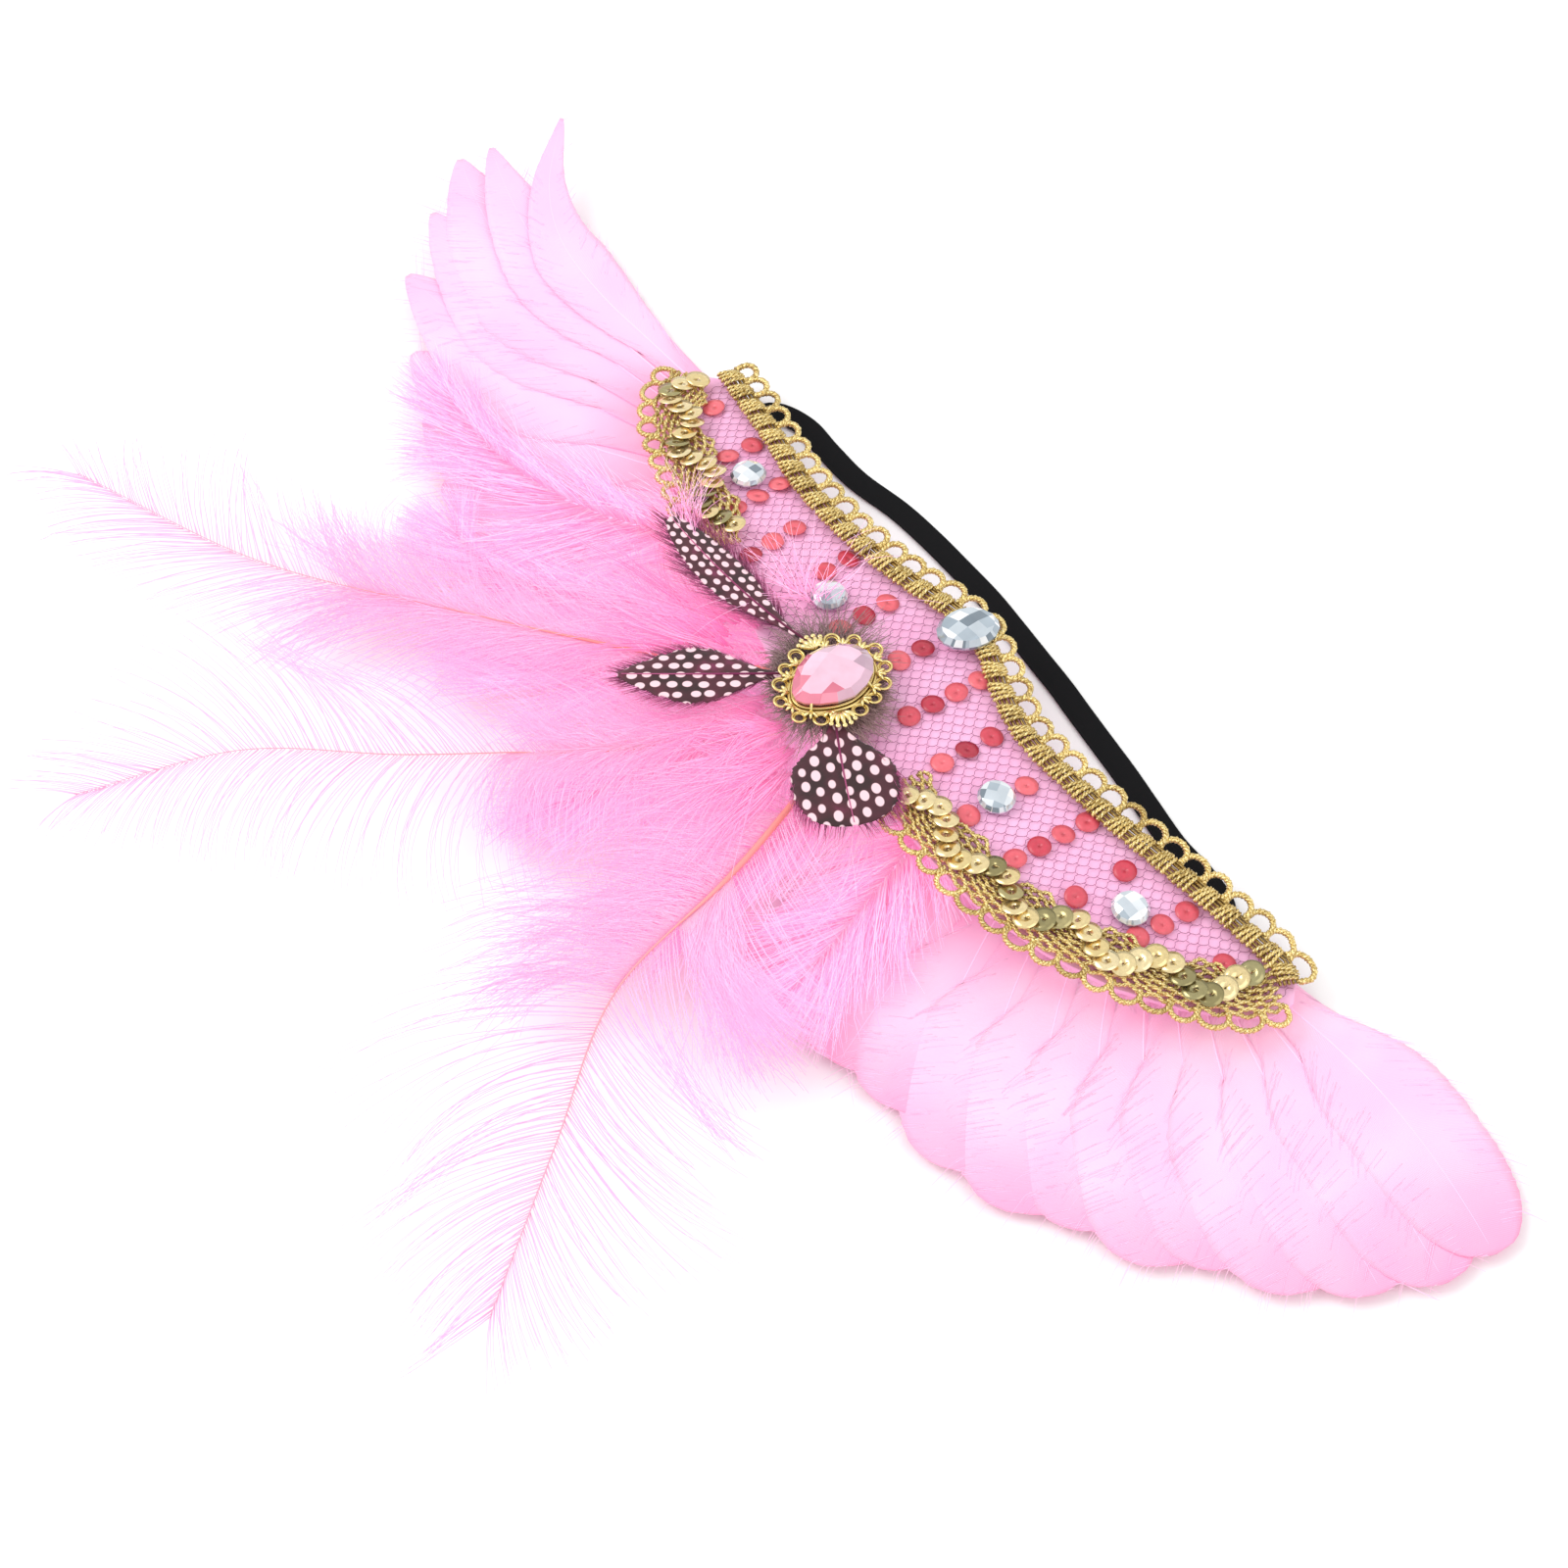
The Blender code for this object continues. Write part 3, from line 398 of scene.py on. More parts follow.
def vane_finish(name, stops, barb_count, shade):
    """A flat vane: colour along the quill, and fine barb lines from the piece's own UV map."""
    mat, nodes, links, shader = new_finish(name, 0.62, Sheen_Weight=0.25, Sheen_Roughness=0.4,
                                           Specular_IOR_Level=0.25)
    where = nodes.new("ShaderNodeUVMap")
    split = nodes.new("ShaderNodeSeparateXYZ")
    links.new(where.outputs["UV"], split.inputs["Vector"])
    along = ramp_node(nodes, stops)
    links.new(split.outputs["X"], along.inputs["Fac"])
    barbs = nodes.new("ShaderNodeTexWave")
    barbs.wave_type = "BANDS"
    barbs.bands_direction = "X"
    barbs.inputs["Scale"].default_value = barb_count
    barbs.inputs["Distortion"].default_value = 3.0
    barbs.inputs["Detail"].default_value = 2.0
    barbs.inputs["Detail Scale"].default_value = 1.2
    links.new(where.outputs["UV"], barbs.inputs["Vector"])
    drift = noise_node(nodes, links, 38.0, 2.0)
    lines = mixed(nodes, links, 0.10, along.outputs["Color"], barbs.outputs["Color"], "MULTIPLY")
    cloud = ramp_node(nodes, ((0.35, shade), (0.65, (1.0, 1.0, 1.0))))
    links.new(drift.outputs["Fac"], cloud.inputs["Fac"])
    colour = mixed(nodes, links, 1.0, lines, cloud.outputs["Color"], "MULTIPLY")
    links.new(colour, shader.inputs["Base Color"])
    # painted light: a weak emission in the vane's own colour lifts the shade where the feathers lap
    links.new(colour, shader.inputs["Emission Color"])
    shader.inputs["Emission Strength"].default_value = 0.12
    relief(nodes, links, shader, barbs.outputs["Fac"], 0.35, 0.00015)
    return mat


GOOSE_VANE = vane_finish("goose vane", ((0.0, (1.0, 0.56, 0.76)), (0.2, (1.0, 0.63, 0.81)),
                                        (0.6, (1.0, 0.62, 0.81)), (1.0, (1.0, 0.42, 0.63))), 60.0,
                         (1.0, 0.88, 0.96))
PALE_VANE = vane_finish("pale goose vane", ((0.0, (1.0, 0.48, 0.70)), (0.18, (1.0, 0.57, 0.78)),
                                            (0.6, (1.0, 0.64, 0.84)), (1.0, (1.0, 0.56, 0.77))), 60.0,
                        (1.0, 0.90, 0.97))
MARABOU = strand_finish("bright marabou", (1.0, 0.49, 0.73), (1.0, 0.61, 0.82), (1.0, 0.71, 0.88),
                        ((0.90, 0.54, 0.76), (1.0, 1.0, 1.0)), painted_glow=0.38)
DEEP_MARABOU = strand_finish("deep marabou", (1.0, 0.27, 0.57), (1.0, 0.44, 0.72), (1.0, 0.60, 0.83),
                             ((0.92, 0.60, 0.80), (1.0, 1.0, 1.0)), painted_glow=0.26)
OSTRICH = strand_finish("ostrich barbs", (1.0, 0.52, 0.75), (0.99, 0.57, 0.81), (0.95, 0.55, 0.82),
                        ((0.92, 0.80, 0.90), (1.0, 1.0, 1.0)), painted_glow=0.24)
# the quill's last number, 0.1, is its painted glow
QUILL_RED = strand_finish("plume quill", (1.0, 0.30, 0.24), (1.0, 0.36, 0.36), (1.0, 0.42, 0.60),
                          ((0.9, 0.9, 0.9), (1.0, 1.0, 1.0)), 0.4, 0.1, 0.1)
DOWN_STRANDS = strand_finish("grey brown down", (0.22, 0.12, 0.11), (0.36, 0.22, 0.21), (0.55, 0.36, 0.36),
                             ((0.6, 0.55, 0.55), (1.0, 1.0, 1.0)), 0.8, 0.3)
GUINEA_STRANDS = strand_finish("guinea fringe", (0.12, 0.01, 0.04), (0.30, 0.03, 0.14), (0.9, 0.22, 0.50),
                               ((0.6, 0.5, 0.5), (1.0, 1.0, 1.0)), 0.6, 0.2)
GOOSE_STRANDS = strand_finish("goose fringe", (1.0, 0.56, 0.77), (1.0, 0.61, 0.81), (1.0, 0.57, 0.79),
                              ((0.98, 0.93, 0.97), (1.0, 1.0, 1.0)), painted_glow=0.22)


# %% The spotted vane's finish
def spotted_finish():
    """Dark burgundy vane with pale round dots in staggered rows, after the piece's own UV map."""
    mat, nodes, links, shader = new_finish("spotted vane", 0.55, Sheen_Weight=0.2, Specular_IOR_Level=0.3)
    where = nodes.new("ShaderNodeUVMap")
    dots = nodes.new("ShaderNodeTexVoronoi")
    dots.feature = "F1"
    dots.inputs["Scale"].default_value = 1.0
    dots.inputs["Randomness"].default_value = 0.22
    # every second row of dots is moved half a step along the quill
    split = nodes.new("ShaderNodeSeparateXYZ")
    links.new(where.outputs["UV"], split.inputs["Vector"])
    steps = []
    for operation, number in (("ADD", 0.39), ("FLOOR", 0.0), ("MODULO", 2.0), ("MULTIPLY", 0.5)):
        step = nodes.new("ShaderNodeMath")
        step.operation = operation
        step.inputs[1].default_value = number
        links.new(steps[-1].outputs["Value"] if steps else split.outputs["Y"], step.inputs[0])
        steps.append(step)
    moved = nodes.new("ShaderNodeMath")
    links.new(split.outputs["X"], moved.inputs[0])
    links.new(steps[-1].outputs["Value"], moved.inputs[1])
    rows = nodes.new("ShaderNodeCombineXYZ")
    links.new(moved.outputs["Value"], rows.inputs["X"])
    links.new(split.outputs["Y"], rows.inputs["Y"])
    links.new(rows.outputs["Vector"], dots.inputs["Vector"])
    edge = ramp_node(nodes, ((0.31, (1.0, 1.0, 1.0)), (0.36, (0.0, 0.0, 0.0))))
    links.new(dots.outputs["Distance"], edge.inputs["Fac"])
    drift = noise_node(nodes, links, 120.0, 3.0)
    ground = ramp_node(nodes, ((0.35, (0.035, 0.012, 0.014)), (0.6, (0.09, 0.016, 0.03)),
                               (0.85, (0.30, 0.03, 0.12))))
    links.new(drift.outputs["Fac"], ground.inputs["Fac"])
    barbs = noise_node(nodes, links, 1500.0, 2.0, (1.0, 0.12, 1.0))
    colour = mixed(nodes, links, edge.outputs["Color"], ground.outputs["Color"], (0.92, 0.62, 0.68))
    links.new(colour, shader.inputs["Base Color"])
    relief(nodes, links, shader, barbs.outputs["Fac"], 0.4, 0.0002)
    return mat


SPOTTED_VANE = spotted_finish()


# %% Cloth, metal and stone finishes
def satin_finish():
    mat, nodes, links, shader = new_finish("pink satin", 0.42, Sheen_Weight=0.3, Sheen_Roughness=0.35,
                                           Specular_IOR_Level=0.35)
    drift = noise_node(nodes, links, 60.0, 3.0)
    colour = ramp_node(nodes, ((0.3, (0.96, 0.46, 0.72)), (0.7, (1.0, 0.56, 0.82))))
    links.new(drift.outputs["Fac"], colour.inputs["Fac"])
    links.new(colour.outputs["Color"], shader.inputs["Base Color"])
    weave = noise_node(nodes, links, 2500.0, 2.0, (1.0, 0.3, 1.0))
    relief(nodes, links, shader, weave.outputs["Fac"], 0.3, 0.00008)
    return mat


def thread_finish(name, dark, light, rough):
    """Metal thread: noise paints bright and dark flecks into the colour, painted glints and shade like those that
    flat metal tape wound on a core shows.
    """
    mat, nodes, links, shader = new_finish(name, rough, 0.85, Specular_IOR_Level=0.6)
    painted_glints = noise_node(nodes, links, 2600.0, 2.0)
    colour = ramp_node(nodes, ((0.36, dark), (0.52, light), (0.68, (1.0, 0.90, 0.58))))
    links.new(painted_glints.outputs["Fac"], colour.inputs["Fac"])
    # the core under the wraps is painted dark, as shade between the wraps, and every cord has a brightness of its
    # own, at random
    tone = mark_node(nodes, "tone")
    shade = ramp_node(nodes, ((0.0, (0.45, 0.38, 0.28)), (0.25, (0.80, 0.78, 0.72)), (0.8, (1.0, 1.0, 1.0))))
    links.new(tone.outputs["Fac"], shade.inputs["Fac"])
    links.new(mixed(nodes, links, 1.0, colour.outputs["Color"], shade.outputs["Color"], "MULTIPLY"),
              shader.inputs["Base Color"])
    relief(nodes, links, shader, painted_glints.outputs["Fac"], 0.7, 0.0002)
    return mat


def toned_finish(name, stops, rough, metal, grain, **sockets):
    """A finish whose colour comes from each part's tone; on the cut stones and the sequins that tone is painted light
    and shade.
    """
    mat, nodes, links, shader = new_finish(name, rough, metal, **sockets)
    tone = mark_node(nodes, "tone")
    colour = ramp_node(nodes, stops)
    links.new(tone.outputs["Fac"], colour.inputs["Fac"])
    fine = noise_node(nodes, links, grain, 2.0)
    shade = ramp_node(nodes, ((0.3, (0.86, 0.86, 0.86)), (0.7, (1.0, 1.0, 1.0))))
    links.new(fine.outputs["Fac"], shade.inputs["Fac"])
    links.new(mixed(nodes, links, 1.0, colour.outputs["Color"], shade.outputs["Color"], "MULTIPLY"),
              shader.inputs["Base Color"])
    relief(nodes, links, shader, fine.outputs["Fac"], 0.15, 0.0001)
    return mat


SATIN = satin_finish()
GOLD_THREAD = thread_finish("gold thread", (0.50, 0.30, 0.06), (1.0, 0.80, 0.34), 0.34)
# the gold sequins' tones are painted light and shade: dark brown copies for sequins in shade, pale gold up to a
# painted highlight for lit ones
GOLD_SEQUIN = toned_finish("gold sequin", ((0.0, (0.22, 0.17, 0.06)), (0.25, (0.45, 0.40, 0.20)),
                                           (0.5, (0.88, 0.68, 0.30)), (1.0, (1.0, 0.84, 0.50))), 0.22, 0.9,
                           900.0)
FILIGREE = toned_finish("gold filigree", ((0.0, (0.72, 0.48, 0.12)), (1.0, (1.0, 0.86, 0.42))), 0.25, 0.95,
                        1600.0)
NET_THREAD = toned_finish("mauve net", ((0.0, (0.30, 0.05, 0.17)), (1.0, (0.52, 0.14, 0.33))), 0.6, 0.0,
                          2500.0, Sheen_Weight=0.2)
# the red sequins' tones are painted light and shade: deep red copies for sequins in shade, light coral ones for lit
# sequins
RED_SEQUIN = toned_finish("red sequin", ((0.0, (0.30, 0.010, 0.030)), (0.45, (0.62, 0.035, 0.075)),
                                         (1.0, (0.92, 0.16, 0.20))), 0.35, 0.0, 900.0,
                          Coat_Weight=0.25, Coat_Roughness=0.2)
ELASTIC_BLACK = toned_finish("black elastic", ((0.0, (0.006, 0.006, 0.007)), (1.0, (0.02, 0.02, 0.022))),
                             0.8, 0.0, 2600.0, Sheen_Weight=0.02, Specular_IOR_Level=0.15)
# these two ramps turn each facet's tone into a painted reflection, from dark to white
CLEAR_CUT = toned_finish("mirror backed stone", ((0.0, (0.12, 0.16, 0.20)), (0.35, (0.40, 0.48, 0.55)),
                                                 (0.7, (0.82, 0.88, 0.93)), (1.0, (1.0, 1.0, 1.0))), 0.08, 0.35,
                         200.0, Coat_Weight=1.0, Coat_Roughness=0.03)
PINK_CUT = toned_finish("pink cut stone", ((0.0, (0.60, 0.10, 0.18)), (0.35, (0.86, 0.24, 0.34)),
                                           (0.6, (0.56, 0.36, 0.46)), (1.0, (1.0, 0.62, 0.78))), 0.08, 0.15,
                        200.0, Coat_Weight=1.0, Coat_Roughness=0.03)
print("finishes", len(bpy.data.materials))

# %% [markdown]
# ## The panel and its net
# The panel is card under pink satin. A grid is pulled onto the crescent and thickened with Solidify, and
# its rim is rounded with Bevel. The net over it is knotted thread, so it is made as thread: zigzag lines
# with their neighbours half a mesh apart, and short links where they come close.

# %% Satin panel
def panel_cover():
    bm = bmesh.new()
    bmesh.ops.create_grid(bm, x_segments=150, y_segments=24, size=1.0)
    for v in bm.verts:
        x = -129.0 + 260.0 * (v.co.x + 1.0) / 2.0
        low, high = forehead_edge(x), feather_edge(x)
        y = low + (high - low) * (v.co.y + 1.0) / 2.0
        pucker = 0.10 * math.sin(x * 0.9 + 0.6 * y) + 0.08 * math.sin(0.31 * x - 0.8 * y)
        z = panel_under(x, y) + PANEL_THICK - 0.18 + pucker
        v.co = (np.array((x, y, z)) + SHIFT) * MM
    mesh = bpy.data.meshes.new("panel satin")
    bm.to_mesh(mesh)
    bm.free()
    mesh.shade_smooth()
    obj = add_piece("panel_satin", mesh, SATIN, ("band_panel",))
    wall = obj.modifiers.new("wall", "SOLIDIFY")
    wall.thickness = (PANEL_THICK - 0.4) * MM
    wall.offset = -1.0
    rim = obj.modifiers.new("rim", "BEVEL")
    rim.width = 0.5 * MM
    rim.segments = 2
    rim.limit_method = "ANGLE"
    return obj


panel_satin = panel_cover()

# %% Net threads
NET_PITCH, NET_WAVE, NET_SWING, NET_THREAD_RADIUS = 1.85, 2.0, 0.46, 0.085


def net_point(x, y, swing):
    drift = 0.7 * math.sin(x / 19.0)
    px = x + swing + 1.1 * np.sin(y / 15.0 + x / 37.0)
    return np.stack([px, y + 0 * px, panel_under(px, y) + NET_LIFT + 0.12 + 0 * px], -1), drift


def net_threads():
    rng = np.random.default_rng(5)
    groups = []
    lines = np.arange(-125.5, 127.5, NET_PITCH)
    links = []
    for number, x in enumerate(lines):
        low, high = forehead_edge(x) + 1.2, feather_edge(x) - 1.6
        if high - low < 5.0:
            continue
        y = np.arange(low, high, 0.5)
        sign = 1.0 if number % 2 else -1.0
        wave = sign * NET_SWING * np.clip(1.7 * np.sin(2 * np.pi * y / NET_WAVE / 2.0), -1.0, 1.0)
        wave += rng.normal(0.0, 0.06, len(y)) + 0.16 * np.sin(y / 2.7 + rng.uniform(0, 6.28))
        path, _ = net_point(x, y, wave)
        groups.append(tube_arrays(path[None], NET_THREAD_RADIUS, 3, 0.25 * rng.random()))
        knots = np.arange(math.ceil(low / NET_WAVE), math.floor(high / NET_WAVE)) * NET_WAVE + 0.5
        for y_knot in knots:
            here = sign * math.sin(2 * np.pi * y_knot / NET_WAVE / 2.0)
            if here > 0.3 and number + 1 < len(lines):
                a, _ = net_point(x, np.array([y_knot]), NET_SWING)
                b, _ = net_point(x + NET_PITCH, np.array([y_knot + 0.35]), -NET_SWING)
                links.append(np.concatenate([a, b]))
    links = np.array(links)
    groups.append(tube_arrays(links, NET_THREAD_RADIUS * 0.9, 3, 0.7))
    return gathered(groups)


net = add_piece("net_threads", strand_mesh("net threads", net_threads()), NET_THREAD,
                ("sequin_net",))

# %% [markdown]
# ## Sequins
# A flat sequin is a thin dished disc with a small hole. One is modelled with bmesh and then stamped many
# times, each with its own tilt and a tone of painted light and shade, lighter and darker copies of one
# colour. The coral ones lie scattered in rows on the net, the gold ones overlap like tiles along each
# gimp, with a stitch of gold thread over every hole.

# %% One sequin, and a stamp
def sequin_seed(radius, hole, thick, dish, sides):
    bm = bmesh.new()
    bmesh.ops.create_circle(bm, segments=sides, radius=radius)
    bmesh.ops.create_circle(bm, segments=sides, radius=hole)
    bmesh.ops.bridge_loops(bm, edges=bm.edges[:])
    across = [e for e in bm.edges if abs(e.verts[0].co.length - e.verts[1].co.length) > 0.2 * radius]
    bmesh.ops.subdivide_edges(bm, edges=across, cuts=1)
    bmesh.ops.recalc_face_normals(bm, faces=bm.faces[:])
    if bm.faces[:][0].normal.z < 0:
        bmesh.ops.reverse_faces(bm, faces=bm.faces[:])
    top = bm.faces[:]
    raised = bmesh.ops.extrude_face_region(bm, geom=top, use_keep_orig=True)
    new_verts = [g for g in raised["geom"] if isinstance(g, bmesh.types.BMVert)]
    for v in new_verts:
        v.co.z += thick
    bmesh.ops.recalc_face_normals(bm, faces=bm.faces[:])
    for v in bm.verts:
        v.co.z += dish * (v.co.x ** 2 + v.co.y ** 2) / radius ** 2
    bm.verts.index_update()
    verts = np.array([v.co for v in bm.verts])
    faces = [tuple(v.index for v in f.verts) for f in bm.faces]
    bm.free()
    return verts, faces


def seed_polys(faces):
    by_size = {}
    for f in faces:
        by_size.setdefault(len(f), []).append(f)
    return [np.array(group) for group in by_size.values()]


def stamped(seed, centres, normals, spins, tones):
    """Copies of a seed shape: its Z goes to each normal."""
    verts, faces = seed
    polys = seed_polys(faces)
    normals = normals / np.linalg.norm(normals, axis=1)[:, None]
    u = np.cross((0.0, 1.0, 0.0), normals)
    u /= np.linalg.norm(u, axis=1)[:, None]
    w = np.cross(normals, u)
    c, s = np.cos(spins)[:, None], np.sin(spins)[:, None]
    u, w = c * u + s * w, -s * u + c * w
    placed = (centres[:, None, :] + verts[None, :, 0:1] * u[:, None, :] + verts[None, :, 1:2] * w[:, None, :]
              + verts[None, :, 2:3] * normals[:, None, :])
    n, m = len(centres), len(verts)
    step = (np.arange(n) * m)[:, None, None]
    all_polys = [(p[None] + step).reshape(-1, p.shape[1]) for p in polys]
    reach = np.linalg.norm(verts[:, :2], axis=1)
    runs = np.broadcast_to(reach / reach.max(), (n, m)).ravel()
    return placed.reshape(-1, 3), all_polys, np.repeat(tones, m), runs


def panel_normal(x, y):
    return np.stack([x / PANEL_RADIUS, -PANEL_LEAN + 0 * y, 1.0 + 0 * x], -1)


# x, y of the first, count, step x, step y
RED_ROWS = (
    (118.0, 12.5, 1, 0.2, -7.6), (98.5, 21.5, 2, -0.5, -8.0), (80.0, 32.0, 3, 0.2, -7.6),
    (62.5, 39.5, 3, 0.6, -7.8), (45.5, 27.0, 2, 0.0, -8.0), (26.5, 36.0, 3, 0.0, -7.9),
    (8.5, 30.0, 2, -0.2, -7.8), (-8.0, 39.2, 4, -0.3, -7.6), (-25.0, 41.2, 3, -0.2, -8.0),
    (-42.0, 45.6, 1, 0.0, -8.0), (-42.8, 27.2, 1, 0.0, -8.0), (-59.0, 43.6, 4, -0.4, -7.6),
    (-76.4, 37.4, 1, -0.3, -7.6), (-77.0, 21.8, 1, -0.3, -7.6), (-94.0, 31.2, 3, -0.4, -7.8),
    (-111.6, 16.8, 1, 0.0, -8.0),
)


def red_sequins():
    rng = np.random.default_rng(11)
    spots = np.array([(x + k * dx, y + k * dy) for x, y, count, dx, dy in RED_ROWS for k in range(count)])
    x, y = spots[:, 0], spots[:, 1]
    centres = np.stack([x, y, panel_under(x, y) + NET_LIFT + 0.6], -1)
    normals = panel_normal(x, y) + np.concatenate([rng.normal(0.0, 0.11, (len(x), 2)), np.zeros((len(x), 1))], 1)
    # painted light and shade: lighter and darker copies of one red
    tones = np.clip(rng.normal(0.72, 0.28, len(x)), 0.05, 1.0)
    seed = sequin_seed(SEQUIN_RADIUS + 0.15, 0.09, 0.09, 0.0, 26)
    groups = [stamped(seed, centres, normals, rng.uniform(0, 6.28, len(x)), tones)]
    return gathered(groups)


add_piece("red_sequins", strand_mesh("red sequins", red_sequins()), RED_SEQUIN, ("sequin_net",))

# %% [markdown]
# ## Gold gimps
# The forehead edge is bound with a coil gimp: bunches of twisted gold cord wound over a core, each bunch
# throwing one picot loop outwards. A real coil is cord, so each wrap here is two plies that wind round a
# small arch over the band, and the light breaks on them as it does on metal thread.

# %% Forehead gimp
LOOP_PITCH = 7.2
WRAPS_PER_LOOP = 4
# the forehead gimp's edges beside its line, plus for the forehead side, and the reach of its loops
GIMP_OUTER, GIMP_INNER, GIMP_REACH = 1.8, -4.6, 4.8
forehead_points = [(x, low + 0.6) for x, low, high in PANEL[::-1][1:-1]]
forehead_points = [(127.5, -0.4)] + forehead_points[1:-1] + [(-120.0, 3.4), (-126.0, 5.6)]


def beside(line, length, s, w, side, lift):
    """Points at distance s along a line and w beside it, resting on the panel."""
    place, heading = on_line(line, np.asarray(s) / length)
    q = place + left_of(heading) * side * np.asarray(w)[..., None]
    return np.concatenate([q, (panel_under(q[..., 0], q[..., 1]) + lift)[..., None]], -1)


def cord_set(paths, radius, turn_length, sides, points, rng, spread=0.3):
    """Two-ply cords along a list of paths."""
    plies, tones = [], []
    for path in paths:
        even = resampled(path, points)
        for ply in twisted(even, radius * 0.5, turn_length, 2, rng.uniform(0, 6.28)):
            plies.append(ply)
            tones.append(0.5 + rng.uniform(-spread, spread))
    return tube_arrays(np.array(plies), radius * 0.58, sides, np.array(tones))


def picot_loops(line, length, side, pitch, reach, edge, rng):
    loops = []
    count = max(3, int(round(length / pitch)))
    cell = length / count
    for k in range(count):
        mid = (k + 0.5) * cell
        a = np.linspace(1.16 * math.pi, -0.16 * math.pi, 18)
        bulge = 0.45 * cell * rng.uniform(1.0, 1.15)
        out = edge - 0.6 + (reach + 0.2) * rng.uniform(0.93, 1.05) * (np.sin(a) + 0.48) / 1.48
        s = np.clip(mid + bulge * np.cos(a) + rng.normal(0, 0.15), 0.3, length - 0.3)
        path = beside(line, length, s, out, side, BRAID_LIFT + 0.7 + 0.4 * np.sin(a))
        path[:, 2] += np.linspace(0.0, 0.6, len(path))
        loops.append(line_table(path)[0])
    return loops


def forehead_gimp():
    rng = np.random.default_rng(21)
    line, length = by_length(forehead_points)
    count = int(round(length / LOOP_PITCH))
    cell = length / count
    centre, half = (GIMP_OUTER + GIMP_INNER) / 2.0, (GIMP_OUTER - GIMP_INNER) / 2.0
    groups, wraps = [], []
    for k in range(count):
        for j in range(WRAPS_PER_LOOP):
            # a bunch is gathered where the loop leaves it and spreads towards the panel
            w = np.linspace(-1.0, 1.0, 13)
            spread = 0.92 - 0.20 * (w + 1.0)
            aside = j - (WRAPS_PER_LOOP - 1) / 2.0
            s = (k + 0.5 + spread * aside / WRAPS_PER_LOOP) * cell + 0.55 * w + rng.normal(0, 0.06)
            bulge = 1.0 - 0.05 * abs(aside)
            rise = 1.75 * np.sqrt(np.maximum(0.0, 1.0 - (w * 0.98) ** 2)) * (1.0 - 0.13 * abs(aside))
            wraps.append(beside(line, length, np.clip(s, 0.2, length - 0.2), centre + w * half * bulge, 1.0,
                                BRAID_LIFT + 0.35 + rise))
    groups.append(cord_set(wraps, 0.66, 2.6, 5, 14, rng, 0.45))
    # core tubes get tone 0, which the gold thread finish paints dark as shade between the wraps
    for offset in (-3.6, -2.4, -1.2, 0.0, 1.0):
        s = np.linspace(0.3, length - 0.3, 260)
        core = beside(line, length, s, np.full(len(s), offset), 1.0, BRAID_LIFT + 0.7)
        groups.append(tube_arrays(core[None], 0.45, 5, 0.0))
    groups.append(cord_set(picot_loops(line, length, 1.0, LOOP_PITCH, GIMP_REACH, GIMP_OUTER, rng),
                           0.92, 2.2, 5, 34, rng, 0.4))
    return gathered(groups)


add_piece("forehead_gimp", strand_mesh("forehead gimp", forehead_gimp()), GOLD_THREAD,
          ("lower_braid",))

# %% [markdown]
# The feather edge carries a braided gimp: cords in two families that swing against each other and cross
# over and under, with picot loops on the feather side and a string of gold sequins winding along the top.

# %% Feather-edge gimps and their sequins
BRAID_LEFT = ((134.0, 10.0), (129.0, 19.0), (120.0, 26.0), (108.0, 31.5), (95.0, 36.0), (82.0, 41.0),
              (69.0, 45.5))
BRAID_RIGHT = ((-24.0, 57.0), (-36.0, 58.0), (-50.0, 57.5), (-62.0, 56.5), (-76.0, 53.0), (-90.0, 46.5),
               (-102.0, 39.5), (-113.0, 31.0), (-122.0, 21.0), (-126.0, 10.0))
WAVE_LENGTH, GOLD_STEP = 24.6, 4.5
STRING_SET, STRING_SWING = 2.8, 3.6
# for each run: its place in the wave at its start, and where the string of sequins starts
WAVE_STARTS = {"left": (4.9, 3.0), "right": (1.0, 6.0)}
OUTER_CORD, INNER_CORD, SCALLOP, GIMP_CORDS, PLAIT = 4.1, -5.7, 4.0, 12, 6.4


def feather_gimp(tag, points):
    rng = np.random.default_rng(31 if tag == "left" else 32)
    line, length = by_length(points)
    s = np.linspace(0.4, length - 0.4, int(length / 0.7))
    wave = np.sin(2 * np.pi * s / WAVE_LENGTH + WAVE_STARTS[tag][0])
    inner = INNER_CORD - SCALLOP * (0.5 + 0.5 * wave)
    paths = []
    for k in range(GIMP_CORDS):
        share = k / (GIMP_CORDS - 1)
        turn = 2 * np.pi * s / PLAIT + math.pi * k + 0.5 * np.sin(2 * np.pi * s / 31.0 + k)
        w = OUTER_CORD + (inner - OUTER_CORD) * share ** 0.92 + 0.62 * np.sin(turn)
        paths.append(beside(line, length, s, w, -1.0, BRAID_LIFT + 0.85 + 0.42 * np.cos(turn)))
    groups = [cord_set(paths, 0.72, 2.6, 4, int(length / 0.62), rng, 0.45)]
    groups.append(cord_set(picot_loops(line, length, -1.0, LOOP_PITCH, 4.9, OUTER_CORD + 0.3, rng),
                           0.86, 2.2, 5, 32, rng, 0.4))
    return gathered(groups)


